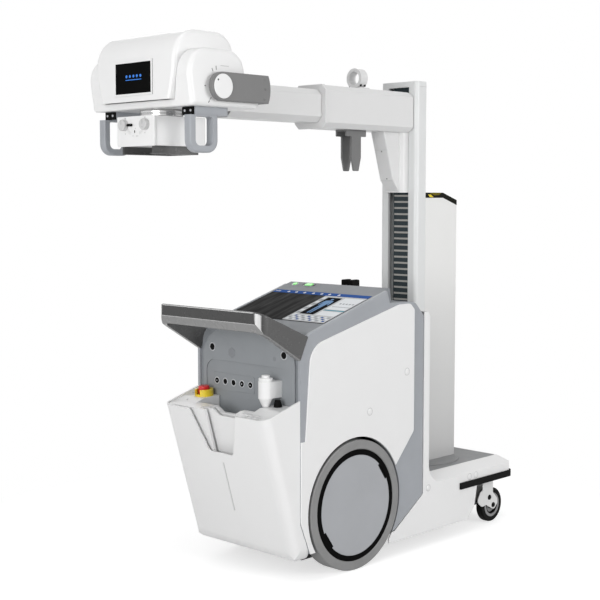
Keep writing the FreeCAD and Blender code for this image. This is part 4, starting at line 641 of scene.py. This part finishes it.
def tilt_scale():
    """Ticks round the pivot on both flanks of the head, and a faint printed line."""
    form = start()
    for side in SIDES:
        for degrees, near, far in ((114, 53, 65), (97, 55, 69), (231, 48, 58), (232, 61, 70), (180, 53, 60)):
            c, s = cos(radians(degrees)), sin(radians(degrees))
            points = [(PIVOT[0] + r * c - w * s, PIVOT[1] + r * s + w * c)
                      for r, w in ((near, -1.6), (far, -1.6), (far, 1.6), (near, 1.6))]
            extrude(form, "xz", points, side * HEAD_SIDE, side * (HEAD_SIDE + 0.35), 0)
        extrude(form, "xz", rect(-674, -636, 1869, 1871.5), side * HEAD_SIDE, side * (HEAD_SIDE + 0.3), 1)
    add("tilt_scale", form, "head", "print_grey", "faint_print_and_painted_shade")


def display_frame():
    """White raised frame of the head's display."""
    form = start()
    frame_of(form, "yz", -103.5, 103.5, 1776.5, 1895.5, 7.5, HEAD_FACE - 1.5, HEAD_FACE)
    add("display_frame", form, "head", "shell_white", bevel=0.5)


def display_marks():
    """Plain waiting sign: a row of dots with a line below."""
    form = start()
    for i in range(5):
        turn(form, "yz", (38 - 19 * i, 1843), [
            (0, DISPLAY_FACE - 0.6), (4.6, DISPLAY_FACE - 0.6), (5.2, DISPLAY_FACE)], 0, 20)
    extrude(form, "yz", rect(-43, 43, 1829.5, 1832), DISPLAY_FACE - 0.5, DISPLAY_FACE)
    add("display_marks", form, "head", "standby_blue")


def grip_brackets():
    """Black screwed plates at the front ends of the grips' mounting bars."""
    form = start()
    for side in SIDES:
        for y in (197, 227):
            points = rect(*sorted((side * (y - 14), side * (y + 14))), 1705.5, 1732.5)
            extrude(form, "yz", points, -767.5, -762.8, 0)
            screw(form, "yz", (side * y, 1720), 4.0, -767.5, -2.0, 1)
    add("grip_brackets", form, "head", "screw_black", "rim_light", bevel=1.0)


def swivel_ring():
    """Bright bearing ring between the head and the collimator."""
    form = start()
    turn(form, "xy", SWIVEL_CENTRE, [
        (72.2, 1709), (75, 1709), (76, 1712), (76, 1716), (73.5, 1717.5),
        (73.5, 1720), (76, 1721.5), (76, 1728), (75, 1731), (72.2, 1731)], 0, 64)
    add("swivel_ring", form, "beam_box", "bright_metal")


def collimator_prints():
    """Index ticks over the knobs, the two field scales and the centre mark."""
    form = start()
    for y in (57, -52):
        extrude(form, "yz", rect(y - 1.2, y + 1.2, 1698.5, 1704.5), BEAM_FACE - 0.45, BEAM_FACE, 0)
    for middle, turned in ((31, 1), (-27, -1)):
        for i in range(5):
            a = radians(-90 + turned * (8 + 14 * i))
            centre = (middle - turned * 8, 1672)
            points = [(centre[0] + r * cos(a) - w * sin(a), centre[1] + r * sin(a) + w * cos(a))
                      for r, w in ((17, -0.7), (27, -0.7), (27, 0.7), (17, 0.7))]
            extrude(form, "yz", points, BEAM_FACE - 0.45, BEAM_FACE, 1)
    for y, z in ((57, 1649), (-51, 1650), (14, 1641), (-5, 1640), (-12, 1640), (1, 1666)):
        extrude(form, "yz", rect(y - 2, y + 2, z - 2.2, z + 2.2), BEAM_FACE - 0.45, BEAM_FACE, 1)
    turn(form, "yz", (4.8, 1655.7), [
        (0, BEAM_FACE - 0.7), (2.2, BEAM_FACE - 0.7), (2.4, BEAM_FACE)], 2, 16)
    extrude(form, "yz", rect(2.8, 6.8, 1651, 1660), BEAM_FACE - 0.6, BEAM_FACE, 2)
    add("collimator_prints", form, "beam_box", "print_grey", "faint_print_and_painted_shade", "screw_black")


def knob_fittings():
    """Black sleeve on the left knob's lever, and a pointer line on each knob."""
    form = start()
    turn(form, "xz", (-827, 1678), [(0, 14), (3.6, 14), (4.6, 16), (4.6, 37), (3.6, 38.5)], 0, 20)
    extrude(form, "yz", rect(57.2, 58.8, 1680, 1695), KNOB_FACE - 0.35, KNOB_FACE, 1)
    add("knob_lever_sleeve", form, "knob_left", "screw_black", "print_grey")
    form = start()
    extrude(form, "yz", rect(-58.8, -57.2, 1680, 1695), KNOB_FACE - 0.35, KNOB_FACE, 0)
    extrude(form, "yz", rect(-60.0, -56.0, 1668, 1669.4), KNOB_FACE - 0.35, KNOB_FACE, 0)
    add("knob_pointer", form, "knob_right", "print_grey")


for build in (
    screen_back, screen_bar_marks, screen_panels, screen_figure, screen_keys, button_frames, front_rims,
    speaker_plate, key_mark, belt_strips, hazard_bands, bin_groove, ring_bands, side_caps, caster_bolts,
    caster_rims, arm_screws, gusset_marks, cap_seam, yoke_screws, pivot_dots, tilt_scale, display_frame,
    display_marks, grip_brackets, swivel_ring, collimator_prints, knob_fittings,
):
    build()


# Camera, light and floor

def add_camera():
    data = bpy.data.cameras.new("camera")
    data.sensor_width = 36.0
    data.lens = 74.31
    data.clip_end = 60.0
    camera = bpy.data.objects.new("camera", data)
    camera.location = at(*CAMERA_PLACE)
    camera.rotation_euler = (radians(90 - CAMERA_DOWN), 0, radians(-CAMERA_TURN))
    bpy.context.scene.collection.objects.link(camera)
    bpy.context.scene.camera = camera


# Name, place, aim (metres), width (metres) and power (watts) of each round lamp
LAMPS = (
    ("front", (-4.8, -1.4, 1.5), (-0.3, 0, 0.7), 2.4, 104),
    ("side", (1.4, -5.3, 2.2), (0.4, 0, 0.8), 2.4, 114),
    ("top", (-1.0, -1.0, 6.0), (0, 0, 1.0), 3.0, 46),
    ("spark", (-4.9, -3.6, 3.2), (-0.3, 0, 0.9), 0.9, 28),
    ("back", (2.6, 3.0, 3.4), (0, 0, 1.0), 3.0, 26),
)


def add_light(name, place, aim, size, power):
    data = bpy.data.lights.new(name, "AREA")
    data.shape = "DISK"
    data.size = size
    data.energy = power
    lamp = bpy.data.objects.new(name, data)
    lamp.location = place
    way = Vector(aim) - Vector(place)
    lamp.rotation_euler = way.to_track_quat("-Z", "Y").to_euler()
    bpy.context.scene.collection.objects.link(lamp)


def seen_rays(tree):
    """1 for rays from the camera, and for those it sends on by gloss or through glass."""
    ray = tree.nodes.new("ShaderNodeLightPath")
    total = ray.outputs["Is Camera Ray"]
    for name in ("Is Glossy Ray", "Is Transmission Ray"):
        most = tree.nodes.new("ShaderNodeMath")
        most.operation = "MAXIMUM"
        link(tree, total, most.inputs[0])
        link(tree, ray.outputs[name], most.inputs[1])
        total = most.outputs["Value"]
    return total


def add_world():
    world = bpy.data.worlds.new("studio")
    world.use_nodes = True
    bpy.context.scene.world = world
    tree = world.node_tree
    light = tree.nodes["Background"]
    light.inputs["Color"].default_value = (1, 1, 1, 1)
    light.inputs["Strength"].default_value = WORLD_LIGHT
    seen = tree.nodes.new("ShaderNodeBackground")
    seen.inputs["Color"].default_value = (1, 1, 1, 1)
    seen.inputs["Strength"].default_value = 1.0
    mix = tree.nodes.new("ShaderNodeMixShader")
    link(tree, seen_rays(tree), mix.inputs["Fac"])
    link(tree, light.outputs["Background"], mix.inputs[1])
    link(tree, seen.outputs["Background"], mix.inputs[2])
    link(tree, mix.outputs["Shader"], tree.nodes["World Output"].inputs["Surface"])


def whiten(material):
    """Lifts the floor to white, fully so away from the machine; its shadow stays near it."""
    tree = material.node_tree
    shader = tree.nodes["Principled BSDF"]
    glow = tree.nodes.new("ShaderNodeEmission")
    glow.inputs["Color"].default_value = (1, 1, 1, 1)
    glow.inputs["Strength"].default_value = FLOOR_TONE
    both = tree.nodes.new("ShaderNodeAddShader")
    link(tree, shader.outputs["BSDF"], both.inputs[0])
    link(tree, glow.outputs["Emission"], both.inputs[1])
    white = tree.nodes.new("ShaderNodeEmission")
    white.inputs["Color"].default_value = (1, 1, 1, 1)
    white.inputs["Strength"].default_value = 1.0
    coords = tree.nodes.new("ShaderNodeTexCoord").outputs["Object"]
    size = tree.nodes.new("ShaderNodeVectorMath")
    size.operation = "LENGTH"
    link(tree, coords, size.inputs[0])
    far = remap(tree, size.outputs["Value"], 0.0, 1.0, FLOOR_NEAR, FLOOR_FAR)
    lit = tree.nodes.new("ShaderNodeMixShader")
    link(tree, far, lit.inputs["Fac"])
    link(tree, both.outputs["Shader"], lit.inputs[1])
    link(tree, white.outputs["Emission"], lit.inputs[2])
    chosen = tree.nodes.new("ShaderNodeMixShader")
    link(tree, seen_rays(tree), chosen.inputs["Fac"])
    link(tree, shader.outputs["BSDF"], chosen.inputs[1])
    link(tree, lit.outputs["Shader"], chosen.inputs[2])
    link(tree, chosen.outputs["Shader"], tree.nodes["Material Output"].inputs["Surface"])


def add_floor():
    mesh = bpy.data.meshes.new("floor")
    form = bmesh.new()
    bmesh.ops.create_circle(form, cap_ends=True, segments=64, radius=14.0)
    form.to_mesh(mesh)
    form.free()
    floor = bpy.data.objects.new("floor", mesh)
    floor.location = (0, 0, -0.0005)
    bpy.context.scene.collection.objects.link(floor)
    tone = (FLOOR_TONE,) * 3
    material = finish("floor", tone, 0.8, blotch=0.004, grain=40.0, depth=0.0001, specular=0.1)
    whiten(material)
    mesh.materials.append(material)


add_camera()
add_world()
for lamp in LAMPS:
    add_light(*lamp)
add_floor()
bpy.context.scene.view_settings.view_transform = "Standard"
